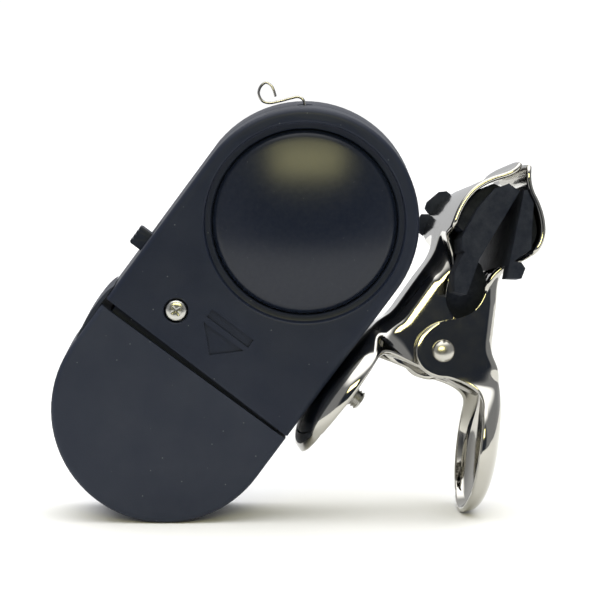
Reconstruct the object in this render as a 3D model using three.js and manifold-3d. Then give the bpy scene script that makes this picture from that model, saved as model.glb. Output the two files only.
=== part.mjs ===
// Clip-on fishing bite alarm: a battery housing with a round sounder dome, and a sprung steel rod clamp.
// Millimetres, +Z up. The alarm stands on the round end of its battery door and on the clamp's lever.
import * as THREE from "three";
import { mergeVertices } from "three/addons/utils/BufferGeometryUtils.js";
import Module from "manifold-3d";

const wasm = await Module();
wasm.setup();

// ---- driving dimensions: housing ----
// In the housing's own frame x runs along it from the battery end to the dome end,
// y runs from the front face to the back face, and z runs across it towards the switch.
const HALF_WIDTH = 17; // the outline is two half circles of this radius joined by straight sides
const CENTRE_DISTANCE = 35.2; // between the two half circles
const DEPTH = 17; // front face to back face
const FRONT_DEPTH = 6.6; // depth of the front shell, up to the parting line
const PARTING_GAP = 0.15;
const WALL = 1.6;
const FRONT_WALL = 2.4;
const BACK_WALL = 1.8;
const EDGE_ROUND = 0.9;
const SEAM_X = 7.4; // edge of the battery door
const SEAM_GAP_SWITCH_SIDE = 1.3; // the door's seam is a little wider on the switch side
const SEAM_GAP_CLAMP_SIDE = 0.4;
const AXIS_TILT = THREE.MathUtils.degToRad(53.5); // the long axis leans this far from level

// ---- driving dimensions: dome, screw, switch, trigger ----
const DOME_RADIUS = 13.6;
const DOME_FLANGE_RADIUS = 14.6;
const DOME_HOLE_RADIUS = 13.9;
const RECESS_RADIUS = 14.9;
const RECESS_DEPTH = 1.5;
const SCREW_X = 13.3;
const SCREW_Z = 7.6;
const SCREW_HEAD_RADIUS = 1.75;
const SCREW_SEAT_Y = 1.6;
const SWITCH_X = 18.2;
const SWITCH_Y = 7.4;
const KNOB_LENGTH = 3;
const KNOB_PROUD = 2.1;
const SWITCH_TRAVEL = 2;
const WIRE_RADIUS = 0.25;
const WIRE_ANGLE = THREE.MathUtils.degToRad(36.5); // the wire leaves straight up when the axis leans
const WIRE_Y = 8;
const WIRE_HOLE_RADIUS = 1.1;
const POST_REACH = 5; // post and contact ring, measured from the dome centre along the wire
const RING_REACH = 13.9;

// ---- driving dimensions: cells and board ----
const CELL_RADIUS = 5.8;
const CELL_HEIGHT = 5.4;
const CELL_COUNT = 3;
const CELL_X = -1.5;
const CELL_Y = 8.2;
const CELL_Z = -7.6; // lower face of the first cell
const TRAY_END_LOW = -10.6;
const TRAY_END_HIGH = 9.2;
const BOARD_Y = 9.4;
const BOARD_THICKNESS = 1.2;
const BOARD_RADIUS = 12.5;

// ---- driving dimensions: clamp ----
// Each half is drawn in one frame: x from the pivot towards the jaws, z outwards, y along the pivot.
const SHEET = 0.8;
const CLAMP_SWIVEL = THREE.MathUtils.degToRad(12); // as it was left, turned on its mounting screw
const MOUNT_X = CENTRE_DISTANCE / 2;
const MOUNT_Y = DEPTH / 2;
const MOUNT_SCREW_RADIUS = 1.5;
const PIVOT_AHEAD = 12.9; // pivot ahead of the dish centre
const BASE_DISH_Z = 11.4; // dish outside face from the pivot
const LEVER_DISH_Z = 10.6;
const DISH_DEPTH = 3.5;
const BASE_DISH_RADIUS = 11.4;
const LEVER_DISH_RADIUS = 10.8;
// each clamp half: its back from the pivot, and the outside radius of the bends beside the back
const BASE_BACK_Z = 9.3;
const BASE_BEND = 3.2;
const LEVER_BACK_Z = 7.45;
const LEVER_BEND = 1.3;
const LEVER_ANGLE = THREE.MathUtils.degToRad(29);
const BASE_CHEEK_Y = 6.2; // outside face of the inner half's cheeks
const LEVER_CHEEK_Y = 7.3;
const CHANNEL_END = 12.2;
const LOBE_RADIUS = 3.9;
const JAW_HALF_WIDTH = 13.2;
const PIN_RADIUS = 1.2;

// ---- solid helpers ----
const X = new THREE.Vector3(1, 0, 0);
const Y = new THREE.Vector3(0, 1, 0);
const Z = new THREE.Vector3(0, 0, 1);
const TO_XZ = new THREE.Matrix4().makeBasis(X, Z, Y.clone().negate()); // outline (x, z), extruded towards -y
const TO_YZ = new THREE.Matrix4().makeBasis(Y, Z, X); // outline (y, z), extruded towards +x

function solid(geometry) {
  geometry.deleteAttribute("normal");
  geometry.deleteAttribute("uv");
  const merged = mergeVertices(geometry, 1e-4);
  return new wasm.Manifold(new wasm.Mesh({
    numProp: 3,
    vertProperties: new Float32Array(merged.attributes.position.array),
    triVerts: new Uint32Array(merged.index.array),
  }));
}

function geometryOf(body) {
  const mesh = body.getMesh();
  const geometry = new THREE.BufferGeometry();
  geometry.setAttribute("position", new THREE.BufferAttribute(new Float32Array(mesh.vertProperties), 3));
  geometry.setIndex(new THREE.BufferAttribute(new Uint32Array(mesh.triVerts), 1));
  return geometry;
}

function extruded(shape, depth, curveSegments = 8) {
  return new THREE.ExtrudeGeometry(shape, { depth, bevelEnabled: false, curveSegments });
}

// an outline in (x, z) that fills y0 to y1
function acrossY(shape, y0, y1, curveSegments) {
  return solid(extruded(shape, y1 - y0, curveSegments).applyMatrix4(TO_XZ).translate(0, y1, 0));
}

// an outline in (y, z) that fills x0 to x1
function alongX(shape, x0, x1, curveSegments) {
  return solid(extruded(shape, x1 - x0, curveSegments).applyMatrix4(TO_YZ).translate(x0, 0, 0));
}

// an outline in (x, y) that fills z0 to z1
function upZ(shape, z0, z1, curveSegments) {
  return solid(extruded(shape, z1 - z0, curveSegments).translate(0, 0, z0));
}

function box(x0, x1, y0, y1, z0, z1) {
  const geometry = new THREE.BoxGeometry(x1 - x0, y1 - y0, z1 - z0);
  return solid(geometry.translate((x0 + x1) / 2, (y0 + y1) / 2, (z0 + z1) / 2));
}

// a cylinder along y at (x, z)
function rodY(radius, x, z, y0, y1, segments = 24) {
  const geometry = new THREE.CylinderGeometry(radius, radius, y1 - y0, segments);
  return solid(geometry.translate(x, (y0 + y1) / 2, z));
}

// a cylinder along z at (x, y)
function rodZ(radius, x, y, z0, z1, segments = 24) {
  const geometry = new THREE.CylinderGeometry(radius, radius, z1 - z0, segments).rotateX(Math.PI / 2);
  return solid(geometry.translate(x, y, (z0 + z1) / 2));
}

// a lathe body whose profile points are (radius, height), given in either direction
function lathe(points, segments) {
  const profile = points.map(([r, h]) => new THREE.Vector2(r, h));
  let area = 0;
  profile.forEach((p, i) => {
    const q = profile[(i + 1) % profile.length];
    area += p.x * q.y - q.x * p.y;
  });
  const onAxis = profile[0].x === 0 && profile.at(-1).x === 0;
  if (!onAxis) profile.push(profile[0].clone());
  return new THREE.LatheGeometry(area < 0 ? profile.reverse() : profile, segments);
}

// a turned body about the y axis through (x, z)
function turnedY(points, x, z, segments = 40) {
  return solid(lathe(points, segments).translate(x, 0, z));
}

function joined(first, ...others) {
  return others.reduce((sum, next) => sum.add(next), first);
}

function polygon(points) {
  return new THREE.Shape(points.map(([a, b]) => new THREE.Vector2(a, b)));
}

// a round wire through points
function wire(points, radius, steps, sides) {
  const route = points.map(([x, y, z]) => new THREE.Vector3(x, y, z));
  const extrudePath = new THREE.CatmullRomCurve3(route, false, "centripetal");
  const section = new THREE.Shape().absarc(0, 0, radius, 0, Math.PI * 2);
  const geometry = new THREE.ExtrudeGeometry(section, { steps, extrudePath, curveSegments: sides, bevelEnabled: false });
  return solid(geometry);
}

// ---- materials ----
function finish(color, roughness, metalness = 0) {
  return new THREE.MeshStandardMaterial({ color, roughness, metalness });
}

const BLACK_PLASTIC = finish(0x25282f, 0.5);
const DOOR_PLASTIC = finish(0x2e3138, 0.55);
const GLOSS_PLASTIC = finish(0x1b1d22, 0.2);
const NICKEL = finish(0xc9c7bd, 0.15, 1);
const STEEL = finish(0xa9abac, 0.3, 1);
const RUBBER = finish(0x26272c, 0.9);
const BRASS = finish(0xc7a14a, 0.3, 1);
const BOARD = finish(0x1f5a35, 0.5);

function part(parent, name, body, material) {
  const mesh = new THREE.Mesh(geometryOf(body), material);
  mesh.name = name;
  parent.add(mesh);
}

// ---- housing ----
const alarm = new THREE.Group();
const housing = new THREE.Group();
housing.rotation.y = -AXIS_TILT;
alarm.add(housing);

// the stadium outline in (x, z), drawn inset by a distance
function stadium(inset = 0) {
  const radius = HALF_WIDTH - inset;
  const shape = new THREE.Shape();
  shape.absarc(CENTRE_DISTANCE, 0, radius, -Math.PI / 2, Math.PI / 2, false);
  shape.absarc(0, 0, radius, Math.PI / 2, Math.PI * 1.5, false);
  return shape;
}

// a stadium block from y0 to y1, with its front or back edge rounded in steps
function stadiumBlock(y0, y1, roundFront, roundBack) {
  const STEPS = 2;
  const OVERLAP = 0.01;
  const segments = 14;
  let block = acrossY(stadium(), y0 + roundFront * EDGE_ROUND, y1 - roundBack * EDGE_ROUND, segments);
  for (let i = 0; i < STEPS; i++) {
    const low = EDGE_ROUND * (1 - Math.sin(((i + 1) / STEPS) * (Math.PI / 2)));
    const inset = EDGE_ROUND * (1 - Math.cos(((i + 0.5) / STEPS) * (Math.PI / 2)));
    const outline = stadium(inset);
    const reach = EDGE_ROUND + OVERLAP;
    if (roundFront) block = block.add(acrossY(outline, y0 + low, y0 + reach, segments));
    if (roundBack) block = block.add(acrossY(outline, y1 - reach, y1 - low, segments));
  }
  return block;
}

// everything on the dome side of the door's seam
function aboveSeam() {
  const far = CENTRE_DISTANCE + HALF_WIDTH + 2;
  const edge = HALF_WIDTH + 2;
  const outline = [[SEAM_X + SEAM_GAP_CLAMP_SIDE, -edge], [far, -edge], [far, edge], [SEAM_X + SEAM_GAP_SWITCH_SIDE, edge]];
  return acrossY(polygon(outline), -1, DEPTH + 1);
}

// a shallow bar and arrowhead that point at the battery door
function symbolCut() {
  const depth = 0.2;
  const bar = polygon([[15.2, -4.3], [16.6, -4.3], [16.7, 3.4], [15.3, 3.4]]);
  const arrow = polygon([[14.4, -4], [14.4, 3.3], [10.9, -0.35]]);
  return acrossY(bar, -1, depth).add(acrossY(arrow, -1, depth));
}

// the slot that the switch knob moves along
function knobSlot() {
  const start = SWITCH_X - KNOB_LENGTH / 2 - 0.3;
  const end = SWITCH_X + KNOB_LENGTH / 2 + SWITCH_TRAVEL + 0.3;
  return box(start, end, SWITCH_Y - 1.5, SWITCH_Y + 1.5, HALF_WIDTH - 3, HALF_WIDTH + 1);
}

// a point on the wire's line, given its reach from the dome centre and its depth
function onWire(reach, y = WIRE_Y) {
  return [CENTRE_DISTANCE + reach * Math.cos(WIRE_ANGLE), y, reach * Math.sin(WIRE_ANGLE)];
}

// a turned body about the wire's line: profile points are (radius, reach)
function aboutWire(points, segments) {
  const geometry = lathe(points, segments).rotateZ(-Math.PI / 2).rotateY(-WIRE_ANGLE);
  return solid(geometry.translate(CENTRE_DISTANCE, WIRE_Y, 0));
}

function wireExit() {
  const inside = HALF_WIDTH - 3;
  const outside = HALF_WIDTH + 1;
  return aboutWire([[0, inside], [WIRE_HOLE_RADIUS, inside], [WIRE_HOLE_RADIUS, outside], [0, outside]], 12);
}

function frontShell() {
  const outside = stadiumBlock(0, FRONT_DEPTH - PARTING_GAP / 2, 1, 0);
  const hollow = acrossY(stadium(WALL), FRONT_WALL, DEPTH, 14);
  const screwBoss = rodY(3.2, SCREW_X, SCREW_Z, FRONT_WALL - 0.2, FRONT_DEPTH - 0.2, 16);
  const cuts = joined(
    rodY(DOME_HOLE_RADIUS, CENTRE_DISTANCE, 0, -1, DEPTH, 36),
    rodY(RECESS_RADIUS, CENTRE_DISTANCE, 0, -1, RECESS_DEPTH, 36),
    rodY(1.25, SCREW_X, SCREW_Z, -1, DEPTH, 16),
    rodY(SCREW_HEAD_RADIUS + 0.2, SCREW_X, SCREW_Z, -1, SCREW_SEAT_Y + 0.1, 20),
    symbolCut(),
    knobSlot(),
    wireExit(),
  );
  return outside.subtract(hollow).add(screwBoss).subtract(cuts).intersect(aboveSeam());
}

// the cells' tray, a plate with two end walls, reaches from the back shell into the battery door
function cellTray() {
  const low = TRAY_END_LOW - 1;
  const high = TRAY_END_HIGH + 1;
  const top = CELL_Y + CELL_RADIUS + 0.4;
  return joined(
    box(CELL_X - 6.5, 12, top, top + 0.7, low, high),
    box(SEAM_X + 1.2, 12, top, DEPTH - 1.4, low, high),
    box(CELL_X - 5, CELL_X + 5, 4, top + 0.5, low, TRAY_END_LOW),
    box(CELL_X - 5, CELL_X + 5, 4, top + 0.5, TRAY_END_HIGH, high),
  );
}

function backShell() {
  const outside = stadiumBlock(FRONT_DEPTH + PARTING_GAP / 2, DEPTH, 0, 1);
  const hollow = acrossY(stadium(WALL), 0, DEPTH - BACK_WALL, 14);
  const screwBoss = rodY(3, SCREW_X, SCREW_Z, FRONT_DEPTH + 0.3, DEPTH - BACK_WALL + 0.2, 16);
  const cuts = joined(
    rodY(1.15, SCREW_X, SCREW_Z, 0, DEPTH - 3, 16),
    rodZ(MOUNT_SCREW_RADIUS + 0.15, MOUNT_X, MOUNT_Y, -HALF_WIDTH - 1, -HALF_WIDTH + 3),
    knobSlot(),
    wireExit(),
  );
  return outside.subtract(hollow).intersect(aboveSeam()).add(screwBoss).add(cellTray()).subtract(cuts);
}

// the battery door is the whole round end, with a thumb lip on its switch side
function batteryDoor() {
  const outside = stadiumBlock(0, DEPTH, 1, 1);
  const hollow = acrossY(stadium(WALL), WALL, DEPTH - WALL, 14);
  const below = box(-HALF_WIDTH - 1, SEAM_X, -1, DEPTH + 1, -HALF_WIDTH - 1, HALF_WIDTH + 1);
  const lip = new THREE.Shape();
  lip.moveTo(-1.5, HALF_WIDTH - 0.6);
  lip.lineTo(SEAM_X - 0.4, HALF_WIDTH - 0.6);
  lip.lineTo(SEAM_X - 0.4, HALF_WIDTH + 0.15);
  lip.lineTo(SEAM_X + 3.2, HALF_WIDTH + 0.15);
  lip.quadraticCurveTo(SEAM_X + 2, HALF_WIDTH + 0.75, SEAM_X - 1, HALF_WIDTH + 0.7);
  lip.quadraticCurveTo(SEAM_X - 5, HALF_WIDTH + 0.6, -1.5, HALF_WIDTH - 0.6);
  return outside.intersect(below).subtract(hollow).add(acrossY(lip, 1.2, DEPTH - 3, 6));
}

function speakerDome() {
  const flangeFront = FRONT_WALL + 0.15;
  const flangeBack = FRONT_WALL + 0.95;
  const crown = [[0, -0.9], [5, -0.8], [9, -0.5], [11.4, -0.1], [12.5, 0.35], [DOME_RADIUS, 1.1]];
  const flange = [[DOME_RADIUS, flangeFront], [DOME_FLANGE_RADIUS, flangeFront], [DOME_FLANGE_RADIUS, flangeBack]];
  const inside = [[11.9, flangeBack], [11.7, 1.3], [9, 0.7], [5, 0.4], [0, 0.3]];
  return turnedY([...crown, ...flange, ...inside], CENTRE_DISTANCE, 0, 36);
}

// a sealed sounder with a hole in the middle of its face
function sounder() {
  return turnedY([[1.5, 3.7], [10.6, 3.7], [11, 4.1], [11, 7], [0, 7], [0, 5.2], [1.5, 5.2]], CENTRE_DISTANCE, 0, 24);
}

function circuitBoard() {
  const shape = new THREE.Shape();
  const edge = SEAM_X + 2.4;
  shape.moveTo(edge, -BOARD_RADIUS);
  shape.lineTo(CENTRE_DISTANCE, -BOARD_RADIUS);
  shape.absarc(CENTRE_DISTANCE, 0, BOARD_RADIUS, -Math.PI / 2, Math.PI / 2, false);
  shape.lineTo(edge, BOARD_RADIUS);
  shape.closePath();
  const board = acrossY(shape, BOARD_Y, BOARD_Y + BOARD_THICKNESS, 10);
  return board.subtract(rodY(3.5, SCREW_X, SCREW_Z, 0, DEPTH, 16));
}

// a drop of black resin over the sound chip, on the back of the board
function soundChip() {
  const y = BOARD_Y + BOARD_THICKNESS + 0.1;
  return turnedY([[0, y], [4, y], [3.7, y + 0.8], [2.6, y + 1.3], [0, y + 1.5]], 24, -3, 14);
}

// a pan-head screw with a cross recess, driven along +y
function caseScrew() {
  const head = [[0, 0.35], [0.9, 0.4], [1.45, 0.65], [SCREW_HEAD_RADIUS, 1.05], [SCREW_HEAD_RADIUS, SCREW_SEAT_Y]];
  const shank = [[1, SCREW_SEAT_Y], [1, 13], [0.3, 13.8], [0, 13.8]];
  const slots = joined(
    box(SCREW_X - 1, SCREW_X + 1, 0, 0.95, SCREW_Z - 0.2, SCREW_Z + 0.2),
    box(SCREW_X - 0.2, SCREW_X + 0.2, 0, 0.95, SCREW_Z - 1, SCREW_Z + 1),
  );
  return turnedY([...head, ...shank], SCREW_X, SCREW_Z, 16).subtract(slots);
}

part(housing, "front_shell", frontShell(), BLACK_PLASTIC);
part(housing, "back_shell", backShell(), BLACK_PLASTIC);
part(housing, "battery_door", batteryDoor(), DOOR_PLASTIC);
part(housing, "speaker_dome", speakerDome(), GLOSS_PLASTIC);
part(housing, "sounder", sounder(), GLOSS_PLASTIC);
part(housing, "circuit_board", circuitBoard(), BOARD);
part(housing, "sound_chip", soundChip(), GLOSS_PLASTIC);
part(housing, "case_screw", caseScrew(), STEEL);

// ---- switch ----
const SWITCH_TOP = HALF_WIDTH - WALL - 0.5;

function switchBody() {
  return box(SWITCH_X - 3.4, SWITCH_X + 5.4, SWITCH_Y - 1.7, BOARD_Y - 0.15, 11.2, SWITCH_TOP);
}

function switchKnob() {
  const half = KNOB_LENGTH / 2;
  const bevel = 0.4;
  const low = SWITCH_TOP + 0.15;
  const high = HALF_WIDTH + KNOB_PROUD;
  const outline = polygon([
    [SWITCH_X - half, low], [SWITCH_X + half, low], [SWITCH_X + half, high - bevel],
    [SWITCH_X + half - bevel, high], [SWITCH_X - half + bevel, high], [SWITCH_X - half, high - bevel],
  ]);
  return acrossY(outline, SWITCH_Y - 1.2, SWITCH_Y + 1.2);
}

part(housing, "switch_body", switchBody(), STEEL);
part(housing, "switch_knob", switchKnob(), BLACK_PLASTIC);

// ---- trigger ----
// a point beside the wire's exit, measured level and upright: right, up, and further back
function besideExit(right, up, back = 0) {
  const [x, y, z] = onWire(HALF_WIDTH);
  const c = Math.cos(AXIS_TILT);
  const s = Math.sin(AXIS_TILT);
  return [x + right * c + up * s, y + back, z - right * s + up * c];
}

// spring steel wire: an eye round the post, a straight stem through the ring, and an open loop outside
function triggerWire() {
  const EYE = 1.15;
  const EYE_STEPS = 10;
  const [x, y, z] = onWire(POST_REACH);
  const eye = [];
  for (let i = 0; i <= EYE_STEPS; i++) {
    const angle = WIRE_ANGLE + Math.PI * (0.3 + (1.5 * i) / EYE_STEPS);
    eye.push([x + EYE * Math.cos(angle), y, z + EYE * Math.sin(angle)]);
  }
  const stem = [onWire(POST_REACH + 3), onWire(RING_REACH - 2), onWire(RING_REACH), onWire(HALF_WIDTH)];
  const loop = [
    besideExit(-0.35, 0.85), besideExit(-1, 1.15, 0.1), besideExit(-2.1, 0.95, 0.1), besideExit(-3.6, 0.55, 0.1),
    besideExit(-5.4, 0.25), besideExit(-6.4, 0.6), besideExit(-6.9, 1.6), besideExit(-6.6, 2.7),
    besideExit(-5.8, 3.3), besideExit(-5, 2.8, -0.1), besideExit(-4.6, 2, -0.2), besideExit(-4.4, 1.3, -0.2),
  ];
  return wire([...eye, ...stem, ...loop], WIRE_RADIUS, 56, 3);
}

function triggerPost() {
  const [x, , z] = onWire(POST_REACH);
  return rodY(0.7, x, z, WIRE_Y - 0.6, BOARD_Y - 0.1, 12);
}

// a short tube round the wire, on a tail that is soldered to the board
function contactRing() {
  const low = RING_REACH - 0.6;
  const high = RING_REACH + 0.6;
  const ring = aboutWire([[0.8, low], [1.2, low], [1.2, high], [0.8, high]], 16);
  const tail = new THREE.BoxGeometry(3.4, 0.25, 1).rotateY(-WIRE_ANGLE);
  return ring.add(solid(tail.translate(...onWire(RING_REACH - 1.6, BOARD_Y - 0.25))));
}

part(housing, "trigger_wire", triggerWire(), STEEL);
part(housing, "trigger_post", triggerPost(), BRASS);
part(housing, "contact_ring", contactRing(), BRASS);

// ---- cells and their contacts ----
function cell(z) {
  const can = rodZ(CELL_RADIUS, CELL_X, CELL_Y, z + 0.4, z + CELL_HEIGHT - 0.1, 20);
  return can.add(rodZ(CELL_RADIUS - 1, CELL_X, CELL_Y, z, z + 0.5, 20));
}

for (let i = 0; i < CELL_COUNT; i++) {
  part(housing, `battery_cell_${i + 1}`, cell(CELL_Z + i * CELL_HEIGHT), STEEL);
}

function batteryContact() {
  const low = CELL_Z + CELL_COUNT * CELL_HEIGHT + 0.05;
  return box(CELL_X - 4, CELL_X + 4, 5, 12, low, TRAY_END_HIGH - 0.15);
}

// a conical spring, wide on the tray's end wall and narrow on the first cell
function batterySpring() {
  const TURNS = 2.5;
  const PER_TURN = 8;
  const WIRE = 0.25;
  const low = TRAY_END_LOW + WIRE + 0.15;
  const high = CELL_Z - WIRE - 0.15;
  const points = [];
  for (let i = 0; i <= TURNS * PER_TURN; i++) {
    const done = i / (TURNS * PER_TURN);
    const angle = (i / PER_TURN) * Math.PI * 2;
    const radius = 3.8 - 1.5 * done;
    points.push([CELL_X + radius * Math.cos(angle), CELL_Y + radius * Math.sin(angle), low + (high - low) * done]);
  }
  return wire(points, WIRE, 26, 3);
}

part(housing, "battery_contact", batteryContact(), BRASS);
part(housing, "battery_spring", batterySpring(), STEEL);

// ---- mounting screw, from inside the housing through the clamp's base ----
const STACK = -HALF_WIDTH - SHEET; // inside face of the base dish, which sits flat on the housing

function mountScrew() {
  const seat = WALL - HALF_WIDTH + 0.15;
  const head = rodZ(2.75, MOUNT_X, MOUNT_Y, seat, seat + 1.9, 20);
  return head.add(rodZ(MOUNT_SCREW_RADIUS, MOUNT_X, MOUNT_Y, STACK - 5.8, seat + 0.1));
}

// a ring on the mounting screw, between two distances from the dish
function onMountScrew(radius, from, to, segments) {
  const ring = rodZ(radius, MOUNT_X, MOUNT_Y, STACK - to, STACK - from, segments);
  return ring.subtract(rodZ(MOUNT_SCREW_RADIUS + 0.15, MOUNT_X, MOUNT_Y, STACK - to - 1, STACK));
}

part(housing, "mount_screw", mountScrew(), STEEL);
part(housing, "flat_washer", onMountScrew(3.5, 0.15, 0.65, 20), STEEL);
part(housing, "spring_washer", onMountScrew(2.9, 0.75, 1.65, 20), STEEL);
part(housing, "mount_nut", onMountScrew(5.5 / Math.sqrt(3), 1.75, 4.15, 6), STEEL);

// ---- clamp ----
const clamp = new THREE.Group();
clamp.position.set(MOUNT_X, MOUNT_Y, -HALF_WIDTH - 0.02);
clamp.rotation.z = CLAMP_SWIVEL;
housing.add(clamp);
const pivot = new THREE.Group(); // z points away from the housing
pivot.position.set(PIVOT_AHEAD, 0, -BASE_DISH_Z);
pivot.rotation.x = Math.PI;
clamp.add(pivot);
const base = new THREE.Group();
base.rotation.x = Math.PI;
pivot.add(base);
const lever = new THREE.Group();
lever.rotation.y = LEVER_ANGLE;
pivot.add(lever);

// points at a distance below a smooth line of (x, z) points
function belowLine(line, distance, divisions) {
  const curve = new THREE.CatmullRomCurve3(line.map(([x, z]) => new THREE.Vector3(x, 0, z)), false, "centripetal");
  const points = [];
  for (let i = 0; i <= divisions; i++) {
    const at = curve.getPoint(i / divisions);
    const along = curve.getTangent(i / divisions);
    points.push([at.x + along.z * distance, at.z - along.x * distance]);
  }
  return points;
}

// an outline of even thickness, hung below a smooth line
function sheetOutline(line, thickness, divisions) {
  return polygon([...belowLine(line, 0, divisions), ...belowLine(line, thickness, divisions).reverse()]);
}

// where the channel's back bends out to become the dish: (x, how far it has risen to the dish's face)
const HEEL = [[-7.2, 0.9], [-5.1, 0.81], [-2.6, 0.6], [-0.9, 0.32], [0.5, 0.08], [1.9, 0], [3, 0]];
const HEEL_START = -5.2;
const HEEL_END = 1.2;

// the side view of a channel: a lobe round the pivot, its two edges, and the back and heel on top
function channelSide(dishZ, backZ) {
  const rise = dishZ - backZ;
  const shape = new THREE.Shape();
  shape.moveTo(HEEL_START, 7.9);
  shape.quadraticCurveTo(-4.5, 6.4, -4.1, 3.8);
  shape.lineTo(-3.8, 0.9);
  shape.absarc(0, 0, LOBE_RADIUS, Math.PI * 0.926, Math.PI * 1.7, false);
  shape.bezierCurveTo(3.9, -1.9, 4.4, -0.9, 4.9, 0.9);
  shape.bezierCurveTo(5.5, 3.2, 6.8, 5.3, 10.6, 5.8);
  shape.lineTo(CHANNEL_END, 5.9);
  shape.lineTo(CHANNEL_END, backZ);
  shape.lineTo(1.9, backZ);
  shape.lineTo(0.4, backZ + 0.06 * rise);
  shape.lineTo(-1, backZ + 0.29 * rise);
  shape.lineTo(-2.7, backZ + 0.57 * rise);
  shape.lineTo(HEEL_START, backZ + 0.77 * rise);
  shape.closePath();
  return shape;
}

// the channel's section in (y, z), with rounded bends
function channelSection(cheekY, backZ, bend) {
  const inner = bend - SHEET;
  const wall = cheekY - SHEET;
  const roof = backZ - SHEET;
  const low = -6;
  const shape = new THREE.Shape();
  shape.moveTo(cheekY, low);
  shape.lineTo(cheekY, backZ - bend);
  shape.absarc(cheekY - bend, backZ - bend, bend, 0, Math.PI / 2, false);
  shape.absarc(bend - cheekY, backZ - bend, bend, Math.PI / 2, Math.PI, false);
  shape.lineTo(-cheekY, low);
  shape.lineTo(-wall, low);
  shape.lineTo(-wall, roof - inner);
  shape.absarc(inner - wall, roof - inner, inner, Math.PI, Math.PI / 2, true);
  shape.absarc(wall - inner, roof - inner, inner, Math.PI / 2, 0, true);
  shape.lineTo(wall, low);
  shape.closePath();
  return shape;
}

// the round handle: a drawn dish, convex outside, with its rim turned inwards
function dish(dishZ, radius) {
  const outer = [[0, 0], [4, 0.08], [7, 0.6], [radius - 1.4, 1.6], [radius, DISH_DEPTH]];
  const inner = [[radius - SHEET, DISH_DEPTH], [radius - 2, 2.25], [6.8, 1.4], [4, 0.88], [0, SHEET]];
  const profile = [...outer, ...inner].map(([r, drop]) => [r, dishZ - drop]);
  const body = solid(lathe(profile, 30).rotateX(Math.PI / 2));
  const hole = rodZ(MOUNT_SCREW_RADIUS + 0.15, 0, 0, 0, 2 * dishZ);
  return body.subtract(hole).translate([-PIVOT_AHEAD, 0, 0]);
}

// the jaw's outline seen from outside: it starts as wide as the channel, then steps out to full width
function jawPlan(cheekY, wide, tip) {
  const CORNER = 1.6;
  const shape = new THREE.Shape();
  shape.moveTo(10.4, -cheekY);
  shape.lineTo(wide - 2.4, -cheekY - 0.9);
  shape.quadraticCurveTo(wide - 0.6, -cheekY - 2.2, wide, 0.6 - JAW_HALF_WIDTH);
  shape.lineTo(wide + 0.8, -JAW_HALF_WIDTH);
  shape.lineTo(tip - CORNER, -JAW_HALF_WIDTH);
  shape.absarc(tip - CORNER, CORNER - JAW_HALF_WIDTH, CORNER, -Math.PI / 2, 0, false);
  shape.absarc(tip - CORNER, JAW_HALF_WIDTH - CORNER, CORNER, 0, Math.PI / 2, false);
  shape.lineTo(wide + 0.8, JAW_HALF_WIDTH);
  shape.lineTo(wide, JAW_HALF_WIDTH - 0.6);
  shape.quadraticCurveTo(wide - 0.6, cheekY + 2.2, wide - 2.4, cheekY + 0.9);
  shape.lineTo(10.4, cheekY);
  shape.closePath();
  return shape;
}

function clampHalf({ cheekY, backZ, bend, dishZ, dishRadius, jawLine, wide, tip }) {
  const wall = cheekY - SHEET;
  const heelLine = HEEL.map(([x, risen]) => [x, backZ + risen * (dishZ - backZ)]);
  const side = acrossY(channelSide(dishZ, backZ), -cheekY - 1, cheekY + 1, 6);
  const channel = alongX(channelSection(cheekY, backZ, bend), HEEL_END, CHANNEL_END, 3);
  const heelCheeks = joined(
    box(HEEL_START, HEEL_END + 0.1, wall, cheekY, -6, 12),
    box(HEEL_START, HEEL_END + 0.1, -cheekY, -wall, -6, 12),
  );
  const heel = acrossY(sheetOutline(heelLine, SHEET, 8), -cheekY, cheekY);
  const roof = belowLine(heelLine, SHEET / 2, 8);
  const underHeel = polygon([[-5.4, 0], [3, 0], ...roof.filter(([x]) => x > -5.4).reverse()]);
  const openDish = dish(dishZ, dishRadius).subtract(acrossY(underHeel, -wall, wall));
  const jawSheet = acrossY(sheetOutline(jawLine, SHEET, 16), -JAW_HALF_WIDTH - 1, JAW_HALF_WIDTH + 1);
  const jaw = jawSheet.intersect(upZ(jawPlan(cheekY, wide, tip), 0, 20, 3));
  const pinHole = rodY(PIN_RADIUS + 0.06, 0, 0, -20, 20, 20);
  return joined(openDish, channel.add(heelCheeks).intersect(side), heel, jaw).subtract(pinHole);
}

const BASE_JAW = [
  [10.6, 9.25], [11.8, 9.35], [13, 9.75], [14.4, 10.35], [16.2, 11], [18.2, 11.45], [19.9, 11.55], [21.8, 11.3],
  [23.4, 10.7], [24.8, 9.9], [26, 9], [27.1, 8.3], [28.2, 7.95], [29.3, 8.05],
];
const LEVER_JAW = [
  [10.6, 7.4], [11.8, 7.5], [13, 8.2], [14.2, 9.4], [15.6, 11], [17, 11.9], [18.5, 12.25], [20, 12.15],
  [21.9, 11.6], [23.7, 10.7], [25, 9.85], [26.2, 9.35], [27.6, 9.1], [29.2, 9.15],
];
part(base, "clamp_base_half", clampHalf({
  cheekY: BASE_CHEEK_Y, backZ: BASE_BACK_Z, bend: BASE_BEND, dishZ: BASE_DISH_Z, dishRadius: BASE_DISH_RADIUS,
  jawLine: BASE_JAW, wide: 15, tip: 29.1,
}), NICKEL);
part(lever, "clamp_lever_half", clampHalf({
  cheekY: LEVER_CHEEK_Y, backZ: LEVER_BACK_Z, bend: LEVER_BEND, dishZ: LEVER_DISH_Z, dishRadius: LEVER_DISH_RADIUS,
  jawLine: LEVER_JAW, wide: 15.6, tip: 29,
}), NICKEL);

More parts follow.
